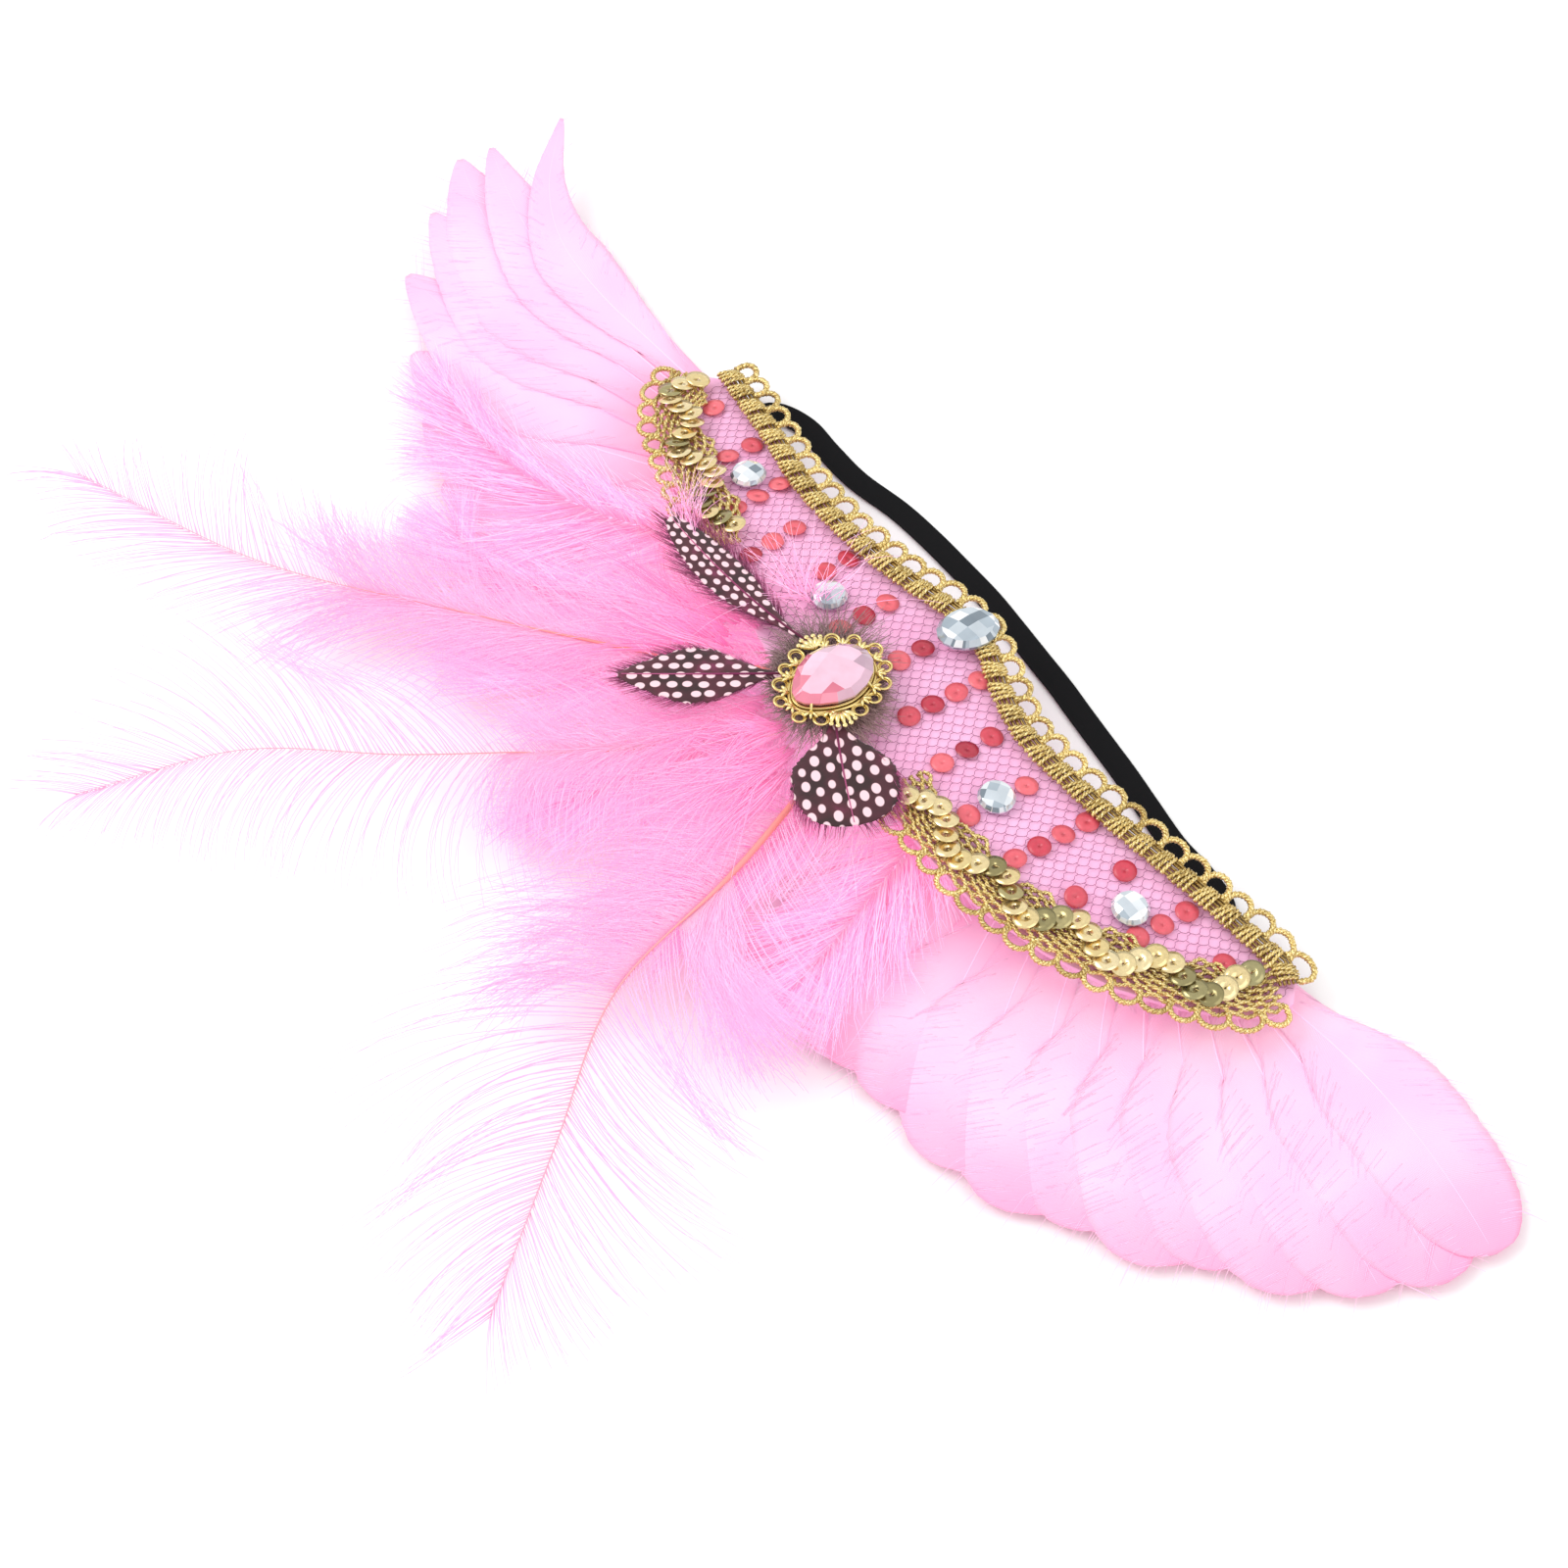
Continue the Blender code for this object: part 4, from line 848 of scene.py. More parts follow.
def sequin_string(tag, points):
    rng = np.random.default_rng(41 if tag == "left" else 42)
    line, length = by_length(points)
    phase, start = WAVE_STARTS[tag]
    s = np.arange(start, length - 3.0, 0.8)
    w = STRING_SWING * np.sin(2 * np.pi * s / WAVE_LENGTH + phase) - STRING_SET
    path = beside(line, length, s, w, -1.0, BRAID_LIFT + 1.9)
    run = np.concatenate([[0], np.cumsum(np.linalg.norm(np.diff(path, axis=0), axis=1))])
    marks = np.arange(0.0, run[-1], GOLD_STEP)
    centres = np.stack([np.interp(marks, run, path[:, i]) for i in range(3)], 1)
    ahead = np.gradient(centres, axis=0)
    ahead /= np.linalg.norm(ahead, axis=1)[:, None]
    normals = panel_normal(centres[:, 0], centres[:, 1]) - 0.26 * ahead * (1.0, 1.0, 0.0)
    normals[:, :2] += rng.normal(0.0, 0.07, (len(centres), 2))
    # painted light and shade: about a quarter of the sequins get a dark tone, the rest a bright one
    tones = np.where(rng.random(len(centres)) < 0.26, rng.uniform(0.12, 0.3, len(centres)),
                     rng.uniform(0.6, 1.0, len(centres)))
    seed = sequin_seed(SEQUIN_RADIUS + 0.45, 0.26, 0.12, 0.02, 26)
    centres[:, 2] += 0.95
    groups = [stamped(seed, centres, normals, rng.uniform(0, 6.28, len(centres)), tones)]
    stitches = []
    for c, d in zip(centres, ahead):
        stitch = [c + (0, 0, -0.1), c + d * 0.8 + (0, 0, 0.45), c + d * 1.8 + (0, 0, 0.4), c + d * 3.0]
        stitches.append(line_table(stitch)[0])
    groups.append(cord_set(stitches, 0.17, 1.2, 3, 9, rng, 0.1))
    return gathered(groups)


for tag, points in (("left", BRAID_LEFT), ("right", BRAID_RIGHT)):
    add_piece("feather_gimp_" + tag, strand_mesh("feather gimp " + tag, feather_gimp(tag, points)),
              GOLD_THREAD, ("upper_braid_" + tag,))
    add_piece("gold_string_" + tag, strand_mesh("gold string " + tag, sequin_string(tag, points)),
              GOLD_SEQUIN, ("gold_sequins_" + tag,))

# %% [markdown]
# ## Cut stones
# The clear stones are acrylic with a mirror back and a chequer-cut top. A grid is domed, trimmed to a
# round with bisect_plane, and its rim is drawn down to the girdle and the flat back. Every facet gets a
# painted reflection: a tone of its own, standing for the different bit of the room that a mirrored
# back throws through each facet.

# %% Stone cutter
def cut_stone(name, place, half_long, half_wide, turn, height, cells, spin, table_share, material, node,
              lift, point=0.0, seed=1, tones=None):
    rng = np.random.default_rng(seed)
    bm = bmesh.new()
    bmesh.ops.create_grid(bm, x_segments=cells, y_segments=cells, size=1.1)
    bmesh.ops.rotate(bm, verts=bm.verts[:], matrix=Matrix.Rotation(spin, 3, "Z"))
    for v in bm.verts:
        v.co.z = 1.0 - 0.42 * (v.co.x ** 2 + v.co.y ** 2)
    sides = 16
    for k in range(sides):
        a = 2 * math.pi * (k + 0.5) / sides
        out = Vector((math.cos(a), math.sin(a), 0.0))
        bmesh.ops.bisect_plane(bm, geom=bm.verts[:] + bm.edges[:] + bm.faces[:], plane_co=out * table_share,
                               plane_no=out, clear_outer=True)
    for scale, level in ((1.0 / table_share, 0.30), (0.985, 0.12), (0.96, 0.0)):
        rim = [e for e in bm.edges if e.is_boundary]
        made = bmesh.ops.extrude_edge_only(bm, edges=rim)["geom"]
        for v in [g for g in made if isinstance(g, bmesh.types.BMVert)]:
            v.co.x *= scale
            v.co.y *= scale
            v.co.z = level
    bmesh.ops.holes_fill(bm, edges=[e for e in bm.edges if e.is_boundary], sides=0)
    bmesh.ops.recalc_face_normals(bm, faces=bm.faces[:])
    x0, y0 = place
    c, s = math.cos(math.radians(turn)), math.sin(math.radians(turn))
    base = panel_under(x0, y0) + lift
    for v in bm.verts:
        r = math.hypot(v.co.x, v.co.y)
        lead = max(0.0, v.co.x / r) if r > 1e-6 else 0.0
        u = half_long * v.co.x
        w = half_wide * v.co.y * (1.0 - point * lead ** 1.5)
        px, py = x0 + c * u - s * w, y0 + s * u + c * w
        pz = base + height * v.co.z - (px - x0) * x0 / PANEL_RADIUS + (py - y0) * PANEL_LEAN
        v.co = (np.array((px, py, pz)) + SHIFT) * MM
    mesh = bpy.data.meshes.new(name)
    bm.to_mesh(mesh)
    bm.free()
    # painted reflection and shade: each facet gets a tone, which the stone's finish turns into a colour from dark to
    # white
    layer = mesh.attributes.new("tone", "FLOAT", "FACE")
    for p in mesh.polygons:
        if tones:
            value = tones(p.normal, rng)
        else:
            value = rng.choice((0.1, 0.38, 0.55, 0.75, 1.0), p=(0.10, 0.20, 0.28, 0.24, 0.18))
        layer.data[p.index].value = value
    add_piece(name, mesh, material, (node,))


ROUND_STONES = ((88.0, 22.0), (37.0, 32.0), (-42.0, 36.5), (-87.0, 28.0))
for number, place in enumerate(ROUND_STONES, 1):
    cut_stone("round_stone_%d" % number, place, 5.0, 5.0, 15.0, 3.4, 4, 0.5 + number, 0.86, CLEAR_CUT,
              "clear_stone_%d" % number, 3.2, seed=number)
# the oval stone's facets get painted reflections in darker, greyer tones
cut_stone("oval_stone", STONE_PLACE, 8.6, 6.6, 75.0, 5.0, 5, 0.4, 0.84, CLEAR_CUT,
          "centre_stone", 5.6, seed=9,
          tones=lambda normal, rng: rng.choice((0.10, 0.30, 0.40, 0.52, 0.90), p=(0.14, 0.26, 0.28, 0.20, 0.12)))

# %% [markdown]
# ## The brooch
# A pear-shaped pink stone sits in a gilt filigree frame: a band round the stone, open wire rings, small
# leaves between them, and two crown-like ornaments. Rings and leaves are wire, so they are tubes too.

# %% Brooch stone and filigree
BROOCH = (9.0, 52.0, 12.5, 9.0, 97.0)
SPOT_LIFT = 7.2
BROOCH_LIFT = 8.7
SETTING_THICK = 1.3


def pear_facet_light(normal, rng):
    # painted light and shade: the table facet is painted bright, facets turned towards +y are painted dark, and the
    # rest get mid tones
    if normal.z > 0.93:
        return rng.uniform(0.9, 1.0)
    if normal.y > 0.25 * abs(normal.x):
        return rng.choice((0.05, 0.2, 0.35))
    return rng.choice((0.55, 0.65, 0.6, 0.8))


bx, by, b_long, b_wide, b_turn = BROOCH
cut_stone("pink_brooch_stone", (bx, by), b_long, b_wide, b_turn, 5.2, 3, 0.3, 0.80, PINK_CUT,
          "brooch_stone", BROOCH_LIFT + SETTING_THICK + 0.3, point=0.35, seed=4, tones=pear_facet_light)


def brooch_line():
    a = np.linspace(0.0, 2 * np.pi, 61)
    c, s = math.cos(math.radians(b_turn)), math.sin(math.radians(b_turn))
    u = (b_long + 0.6) * np.cos(a)
    v = (b_wide + 0.6) * np.sin(a) * (1.0 - 0.25 * np.maximum(0.0, np.cos(a)) ** 1.5)
    return np.stack([bx + c * u - s * v, by + s * u + c * v], 1)


def brooch_height(x, y, lift):
    return (panel_under(bx, by) + BROOCH_LIFT + lift - (x - bx) * bx / PANEL_RADIUS + (y - by) * PANEL_LEAN)


def on_brooch(xy, lift):
    return np.concatenate([xy, brooch_height(xy[..., 0], xy[..., 1], lift)[..., None]], -1)


def filigree():
    rng = np.random.default_rng(51)
    line, length = by_length(brooch_line())
    closed_rings, radii_tones = [], []
    groups = []
    ring_t = np.linspace(0, 2 * np.pi, 20, endpoint=False)
    t = np.linspace(0, 1, 90, endpoint=False)
    for lift, offset, radius in ((0.9, -0.9, 0.55), (0.5, 0.2, 0.5), (1.25, -0.5, 0.28)):
        place, heading = on_line(line, t)
        q = place - left_of(heading) * offset
        groups.append(tube_arrays(on_brooch(q, lift)[None], radius, 6, 0.6, closed=True))
    count = 15
    for k in range(count):
        place, heading = on_line(line, np.array([(k + 0.5) / count]))
        out = -left_of(heading)[0]
        ahead = heading[0]
        if k in (2, 10):
            # a crown of leaves instead of a ring
            for j in range(5):
                lean = (j - 2) * 0.42
                d = out * math.cos(lean) + ahead * math.sin(lean)
                root = place[0] + out * 1.4
                pts = np.array([root, root + d * 2.0 + ahead * 0.4 * (j - 2), root + d * 4.2])
                leaf = on_brooch(line_table(pts)[0][::40], 0.9)
                leaf[:, 2] += 0.7 * np.sin(np.linspace(0, np.pi, len(leaf)))
                width = 0.25 + 0.5 * np.sin(np.linspace(0.2, np.pi - 0.2, len(leaf)))
                groups.append(tube_arrays(leaf[None], width[None], 6, 0.9))
                ball = on_brooch((root + d * 4.4)[None] + ring_small * 0.35, 1.0)
                groups.append(tube_arrays(ball[None], 0.42, 6, 1.0, closed=True))
            continue
        centre = place[0] + out * 2.6
        spread = 2.05 if k % 2 else 1.8
        ring = centre + spread * (np.cos(ring_t)[:, None] * ahead + np.sin(ring_t)[:, None] * out)
        ring3 = on_brooch(ring, 0.7 + 0.25 * np.sin(ring_t))
        groups.append(tube_arrays(ring3[None], 0.36, 6, 0.55, closed=True))
        inner = centre + (spread - 0.5) * (np.cos(ring_t)[:, None] * ahead + np.sin(ring_t)[:, None] * out)
        groups.append(tube_arrays(on_brooch(inner, 0.45 + 0 * ring_t)[None], 0.24, 5, 0.3, closed=True))
        # leaves in the valley between two rings
        edge, way = on_line(line, np.array([(k + 1.0) / count]))
        away = -left_of(way)[0]
        for j in (-1, 0, 1):
            d = away * math.cos(j * 0.7) + way[0] * math.sin(j * 0.7)
            pts = np.array([edge[0] + away * 0.2, edge[0] + d * 1.6 + away * 0.3, edge[0] + d * 2.9])
            leaf = on_brooch(line_table(pts)[0][::50], 1.0)
            leaf[:, 2] += 0.5 * np.sin(np.linspace(0, np.pi, len(leaf)))
            width = 0.16 + 0.34 * np.sin(np.linspace(0.3, np.pi - 0.1, len(leaf)))
            groups.append(tube_arrays(leaf[None], width[None], 5, 0.85))
        # prongs over the stone's rim
        if k % 4 == 0:
            grip = np.array([edge[0] + away * 0.5, edge[0] - away * 1.0, edge[0] - away * 2.3])
            prong = on_brooch(grip, 1.0)
            prong[:, 2] += (0.0, 1.9, 2.6)
            groups.append(tube_arrays(line_table(prong)[0][::50][None], 0.4, 6, 0.9))
    return gathered(groups)


turn_small = np.linspace(0, 2 * np.pi, 8, endpoint=False)
ring_small = np.stack([np.cos(turn_small), np.sin(turn_small)], 1)
add_piece("brooch_filigree", strand_mesh("brooch filigree", filigree()), FILIGREE,
          ("brooch_setting",))

# %% [markdown]
# ## Goose feathers
# A goose feather has a quill and two flat vanes of barbs that sweep to the tip. Each vane starts as a
# grid whose rows are barbs: a point slides forward along the quill the further out it lies. The code can
# split a vane, taking out the faces between two barbs so that the barbs part, but no feather here is
# given a split. The heights shingle the fan, each feather a step below the one before.

# %% Goose fan
# root x, root y, bend x, bend y, tip x, tip y, half width, tip lift
GOOSE_LEFT = (
    (127.0, 7.0, 178.0, -3.0, 230.0, -12.0, 12.0, 16.0),
    (127.0, 11.0, 186.0, 9.0, 235.0, 6.0, 13.0, 12.0),
    (125.0, 15.5, 186.0, 19.0, 239.0, 16.0, 14.0, 9.0),
    (121.0, 20.0, 176.0, 30.5, 228.0, 33.0, 15.0, 6.0),
    (115.0, 23.0, 161.0, 42.5, 214.0, 53.0, 15.5, 3.0),
    (104.0, 28.0, 147.0, 53.5, 190.0, 67.0, 17.0, 0.0),
    (95.5, 31.0, 134.0, 61.0, 168.0, 77.0, 19.0, 0.0),
    (87.0, 34.0, 118.0, 66.5, 144.0, 87.0, 19.0, 0.0),
    (79.0, 35.0, 101.0, 70.0, 119.0, 96.0, 19.0, 0.0),
    (68.0, 38.0, 82.0, 72.0, 93.0, 103.0, 19.0, 0.0),
)
GOOSE_RIGHT = (
    (-118.0, 9.0, -164.0, 6.0, -212.0, 14.0, 17.0, 0.0),
    (-118.0, 14.0, -163.0, 19.0, -211.0, 29.0, 18.0, 0.0),
    (-116.0, 19.0, -160.0, 32.0, -204.0, 43.0, 19.0, 0.0),
    (-113.0, 24.0, -153.0, 43.0, -194.0, 55.0, 20.0, 0.0),
    (-108.0, 29.0, -145.0, 52.0, -182.0, 67.0, 20.0, 0.0),
    (-102.0, 34.0, -135.0, 60.0, -169.0, 78.0, 20.0, 0.0),
    (-94.0, 39.0, -123.0, 67.0, -154.0, 87.0, 21.0, 0.0),
    (-84.0, 43.0, -109.0, 73.0, -138.0, 97.0, 21.0, 0.0),
    (-73.0, 46.0, -94.0, 77.0, -119.0, 103.0, 21.0, 0.0),
    (-61.0, 48.0, -78.0, 79.0, -97.0, 107.0, 20.0, 0.0),
    (-48.0, 49.0, -61.0, 81.0, -74.0, 111.0, 20.0, 0.0),
    (-34.0, 50.0, -43.0, 83.0, -50.0, 115.0, 19.0, 0.0),
)
VANE_ALONG, VANE_ACROSS = 56, 10
BARB_SWEEP = 0.17
LOOSE_BARBS = 170
# the outermost left feather is bent like a sickle; the others of that bunch are soft and lap widely
SHORT_RIGHT = ((4, 0.955), (6, 0.965), (9, 0.975))
SICKLE = ((127.0, 7.0), (150.0, 9.0), (176.0, 11.0), (199.0, 9.5), (216.0, 2.0), (229.5, -12.0))
LEFT_SPREAD, SICKLE_POWER, POINTED, ROUND = (0.95, 1.15, 1.5, 1.3, 1.5, 1.4, 1.3, 1.3, 1.3, 1.3), 0.75, 1.2, 3.6


def vane_half(t, half_width, power):
    grow = 0.12 + 0.88 * smooth(t / 0.5)
    past = np.maximum(0.0, (t - 0.55) / 0.45)
    # a low power gives a pointed tip, a high one a round tip
    tip = 0.05 + 0.95 * np.maximum(0.0, 1.0 - np.minimum(past, 1.0) ** power) ** (0.85 if power < 1.3 else 0.5)
    return half_width * grow * tip


def place_in_fan(lines, k, t, q, nrm):
    """Where points lie in the fan, counted in feathers, from the nearest neighbours."""
    first, last = max(0, k - 1), min(len(lines) - 1, k + 1)
    order = list(range(first, last + 1))
    side = [np.sum((on_line(lines[j], t)[0] - q) * nrm, axis=-1) for j in order]
    side = [side[0] - 3 * (side[1] - side[0])] + side + [side[-1] + 3 * (side[-1] - side[-2])]
    order = np.array([first - 3] + order + [last + 3], float)
    side = np.stack(side, -1)
    flip = side[:, 0] > side[:, -1]
    side[flip] = side[flip][:, ::-1]
    orders = np.where(flip[:, None], order[::-1][None], order[None])
    return np.array([np.interp(0.0, s, o) for s, o in zip(side, orders)])


def vane_points(lines, k, t_root, v, half_width, power, lift, splits, ragged):
    """Places of vane points: t_root is where the barb leaves the quill, v its share outwards, -1 to 1."""
    reach = np.abs(v)
    t = t_root + BARB_SWEEP * (1.0 - t_root) * reach ** 1.3 * smooth(t_root / 0.1 + 0.3)
    for at, side, gap in splits:
        on_side = np.sign(v) == side
        away = t_root - at
        t = t + np.where(on_side, np.sign(away) * gap * np.exp(-np.abs(away) / 0.06)
                         * np.maximum(0.0, reach - 0.25), 0.0)
    end = t_root + BARB_SWEEP * (1.0 - t_root)
    w = v * vane_half(end, half_width, power) * ragged
    over = np.maximum(0.0, t - 1.0)
    p, d = on_line(lines[k], t)
    nrm = left_of(d)
    q = p + nrm * w[:, None] + d * (over * 60.0)[:, None]
    fan = place_in_fan(lines, k, np.clip(t, 0, 1), q, nrm)
    z = bed(q[:, 0], q[:, 1]) + SHINGLE * (fan - k) + lift * np.clip(t, 0, 1.05) ** 3
    camber = -0.25 * (w / 12.0) ** 2 + 0.2
    return np.concatenate([q, (z + camber)[:, None]], 1)


def goose_feather(tag, lines, k, row, power, splits):
    rng = np.random.default_rng(100 + k + (50 if tag == "right" else 0))
    bm = bmesh.new()
    bmesh.ops.create_grid(bm, x_segments=VANE_ALONG, y_segments=VANE_ACROSS, size=1.0, calc_uvs=True)
    uv = bm.loops.layers.uv.verify()
    co = np.array([v.co for v in bm.verts])
    t_root, v = (co[:, 0] + 1.0) / 2.0, co[:, 1]
    column = np.round(t_root * VANE_ALONG).astype(int)
    uneven = 1.0 - 0.035 * rng.random(VANE_ALONG + 1)[column] * (np.abs(v) > 0.9)
    placed = vane_points(lines, k, t_root, v, row[6], power, row[7], splits, uneven)
    for face in bm.faces:
        for loop in face.loops:
            i = loop.vert.index
            loop[uv].uv = (t_root[i], v[i] * 0.5 + 0.5)
    gone = []
    for at, side, gap in splits:
        for face in bm.faces:
            ts = [t_root[x.index] for x in face.verts]
            vs = [v[x.index] for x in face.verts]
            if min(ts) < at < max(ts) and min(side * s for s in vs) > 0.24:
                gone.append(face)
    bmesh.ops.delete(bm, geom=list(set(gone)), context="FACES")
    for vert, place in zip(bm.verts, placed):
        vert.co = (place + SHIFT) * MM
    mesh = bpy.data.meshes.new("goose vane %s %d" % (tag, k + 1))
    bm.to_mesh(mesh)
    bm.free()
    mesh.shade_smooth()
    obj = add_piece("goose_%s_feather_%02d" % (tag, k + 1), mesh, PALE_VANE if tag == "left" else GOOSE_VANE,
                    ("goose_%s_%02d" % (tag, k + 1),))
    wall = obj.modifiers.new("wall", "SOLIDIFY")
    wall.thickness = 0.22 * MM
    wall.offset = 0.0
    # a slender quill, and loose barbs that lie on the vane and run over its rim
    t = np.linspace(0.0, 0.97, 40)
    quill = vane_points(lines, k, t, 0 * t, row[6], power, row[7], (), 1.0)
    quill[:, 2] += 0.05
    groups = [tube_arrays(quill[None], np.linspace(0.28, 0.07, 40)[None], 6, 0.9)]
    ts = np.sort(rng.uniform(0.06, 1.0, LOOSE_BARBS))
    sides = rng.choice((-1.0, 1.0), LOOSE_BARBS)
    starts = rng.uniform(0.35, 0.92, LOOSE_BARBS)
    share = np.linspace(0.0, 1.0, 5)[None, :]
    ends = starts + rng.uniform(0.25, 0.6, LOOSE_BARBS)
    reach = starts[:, None] + (ends - starts)[:, None] * share
    flat = vane_points(lines, k, np.repeat(ts, 5), (sides[:, None] * np.minimum(reach, 1.0)).ravel(), row[6],
                       power, row[7], splits, 1.0).reshape(-1, 5, 3)
    _, way = on_line(lines[k], ts)
    out = left_of(way) * sides[:, None] + way * 1.3
    past = np.maximum(0.0, reach - 1.0) * row[6] * (0.6 + 0.9 * ts[:, None] ** 2)
    flat[..., :2] += out[:, None, :] * past[..., None] * 0.7
    flat[..., 2] += 0.10 + 0.25 * rng.random((LOOSE_BARBS, 1)) * share
    groups.append(tube_arrays(flat, np.linspace(0.11, 0.04, 5)[None], 3, rng.random(LOOSE_BARBS)))
    return gathered(groups)


for tag, table in (("left", GOOSE_LEFT), ("right", GOOSE_RIGHT)):
    lines = [line_table((row[0:2], row[2:4], row[4:6])) for row in table]
    if tag == "left":
        lines[0] = line_table(SICKLE)
        table = [row[:6] + (row[6] * LEFT_SPREAD[k], row[7]) for k, row in enumerate(table)]
        # the next ones make room for it
        for k, bend_y, tip_y in ((1, 17.0, 9.5), (2, 25.5, 18.0), (3, 34.0, 35.0)):
            row = table[k]
            lines[k] = line_table((row[0:2], (row[2], bend_y), (row[4], tip_y)))
    else:
        # two shorter feathers part the fan's rim into broad lobes
        for k, share in SHORT_RIGHT:
            root, bend, tip = (np.array(table[k][i:i + 2]) for i in (0, 2, 4))
            lines[k] = line_table((root, root + (bend - root) * share, root + (tip - root) * share))
    powers = [SICKLE_POWER] + [POINTED] * (len(table) - 1) if tag == "left" else [ROUND] * len(table)
    rims = [goose_feather(tag, lines, k, row, powers[k], ()) for k, row in enumerate(table)]
    add_piece("goose_%s_quills" % tag, strand_mesh("goose quills " + tag, gathered(rims)), GOOSE_STRANDS)

# %% [markdown]
# ## Marabou and ostrich
# Loose feathers have no flat vane: each barb goes its own way. A barb leaves the quill at an angle and
# bends as it runs, so its path is a heading that changes evenly, summed up step by step. Neighbours share
# a slow wander, which gathers them into locks.

# %% Barbs
def wander(rng, t, knots, size):
    """Slow noise along the quill, shared by neighbouring barbs."""
    return np.interp(t, np.linspace(0, 1, knots), rng.normal(0.0, size, knots))


def barbs_on(line, rng, count, side, reach, leave, bend, height, points=9, knots=14, loose=0.16, span=(0.0, 1.0)):
    """Paths of barbs on one side of a quill.

    reach, leave and bend are functions of the place t on the quill: a length in mm, the angle from the
    quill in radians, and how far the heading turns on its way.
    """
    t = np.linspace(span[0], span[1], count) + rng.normal(0.0, 0.25 * (span[1] - span[0]) / count, count)
    t = np.clip(t, 0.0, 1.0)
    p, d = on_line(line, t)
    nrm = left_of(d) * side
    length = reach(t) * (1.0 + wander(rng, t, knots, 0.10) + rng.normal(0.0, 0.07, count))
    a0 = leave(t) + wander(rng, t, knots, 0.7 * loose) + rng.normal(0.0, loose * 0.4, count)
    turn = bend(t) + wander(rng, t, knots, 1.4 * loose) + rng.normal(0.0, loose, count)
    share = (np.arange(points) / (points - 1))[None, :]
    heading = a0[:, None] + turn[:, None] * share ** 1.2
    wobble = rng.normal(0.0, 0.6 * loose, (count, 1)) * np.sin(2 * np.pi * (share * 1.3 + rng.random((count, 1))))
    heading = heading + wobble
    step = (length / (points - 1))[:, None]
    go_d = np.cumsum(np.cos(heading) * step, axis=1)
    go_n = np.cumsum(np.sin(heading) * step, axis=1)
    go_d, go_n = go_d - go_d[:, :1], go_n - go_n[:, :1]
    xy = p[:, None, :] + go_d[:, :, None] * d[:, None, :] + go_n[:, :, None] * nrm[:, None, :]
    z = height(xy[..., 0], xy[..., 1], t[:, None], share, rng.random((count, 1)))
    return np.concatenate([xy, z[..., None]], -1)


# root x, root y, bend x, bend y, tip x, tip y, half width
TUFTS = (
    (69.0, 32.0, 116.0, 66.0, 166.0, 70.0, 20.0), (50.0, 37.0, 86.0, 84.0, 124.0, 96.0, 20.0),
    (31.0, 41.0, 55.0, 86.0, 78.0, 112.0, 20.0), (12.0, 44.0, 22.0, 88.0, 30.0, 124.0, 21.0),
    (-11.0, 44.0, -14.0, 90.0, -16.0, 127.0, 20.0), (-32.0, 45.0, -44.0, 82.0, -52.0, 108.0, 18.0),
)
TUFT_BARBS = 560


def tuft(number, row):
    rng = np.random.default_rng(200 + number)
    line = line_table((row[0:2], row[2:4], row[4:6]))
    odd = number % 2

    def height(x, y, t, share, chance):
        level = bed(x, y) + TUFT_LAYER + odd * 1.2 + (chance - 0.5) * 1.6
        root = panel_under(x, y) - 1.1
        return level + (root - level) * smooth((feather_edge(x) - 7.0 - y) / 5.0)

    groups = []
    for side in (1.0, -1.0):
        paths = barbs_on(line, rng, TUFT_BARBS, side,
                         lambda t: row[6] * (0.75 + 1.15 * np.sin(np.pi * np.clip(t * 0.8 + 0.15, 0, 1))),
                         lambda t: 0.75 - 0.45 * t, lambda t: -0.30 + 0.1 * t, height, 6, 11, 0.2)
        groups.append(tube_arrays(paths, np.linspace(0.19, 0.05, 6)[None], 3, rng.random(len(paths))))
    t = np.linspace(0.0, 1.0, 30)
    spine = on_line(line, t)[0]
    z = height(spine[:, 0], spine[:, 1], t, t, 0.5 + 0 * t)
    groups.append(tube_arrays(np.concatenate([spine, z[:, None]], 1)[None], np.linspace(0.5, 0.12, 30)[None], 6, 0.8))
    return gathered(groups)


for number, row in enumerate(TUFTS, 1):
    add_piece("marabou_tuft_%d" % number, strand_mesh("marabou %d" % number, tuft(number, row)), MARABOU,
              ("pink_tuft_%d" % number,))

# %% Stray marabou barbs over the panel
# root x, root y, heading in degrees, spread in degrees, count, shortest and longest
STRAYS = ((72.0, 53.0, -30.0, 16.0, 80, 14.0, 34.0), (36.0, 39.0, -24.0, 60.0, 64, 12.0, 34.0))


def stray_barbs():
    rng = np.random.default_rng(71)
    groups = []
    for x, y, heading, spread, count, short, long in STRAYS:
        a = np.radians(heading + spread * rng.normal(0.0, 0.6, (count, 1)))
        turn = rng.normal(0.0, 0.5, (count, 1))
        share = np.linspace(0.0, 1.0, 8)[None, :]
        step = rng.uniform(short, long, (count, 1)) / 7.0
        way = a + turn * share
        px = x + rng.normal(0.0, 2.5, (count, 1)) + np.cumsum(np.cos(way) * step, axis=1)
        py = y + rng.normal(0.0, 2.0, (count, 1)) + np.cumsum(np.sin(way) * step, axis=1)
        pz = panel_under(px, py) + BRAID_LIFT + 3.4 + 1.6 * rng.random((count, 1)) * np.sin(math.pi * share)
        paths = np.stack([px, py, pz], -1)
        groups.append(tube_arrays(paths, np.linspace(0.12, 0.04, 8)[None], 3, rng.random(count)))
    return gathered(groups)


add_piece("stray_marabou", strand_mesh("stray marabou", stray_barbs()), MARABOU,
          ("pink_tuft_1",))

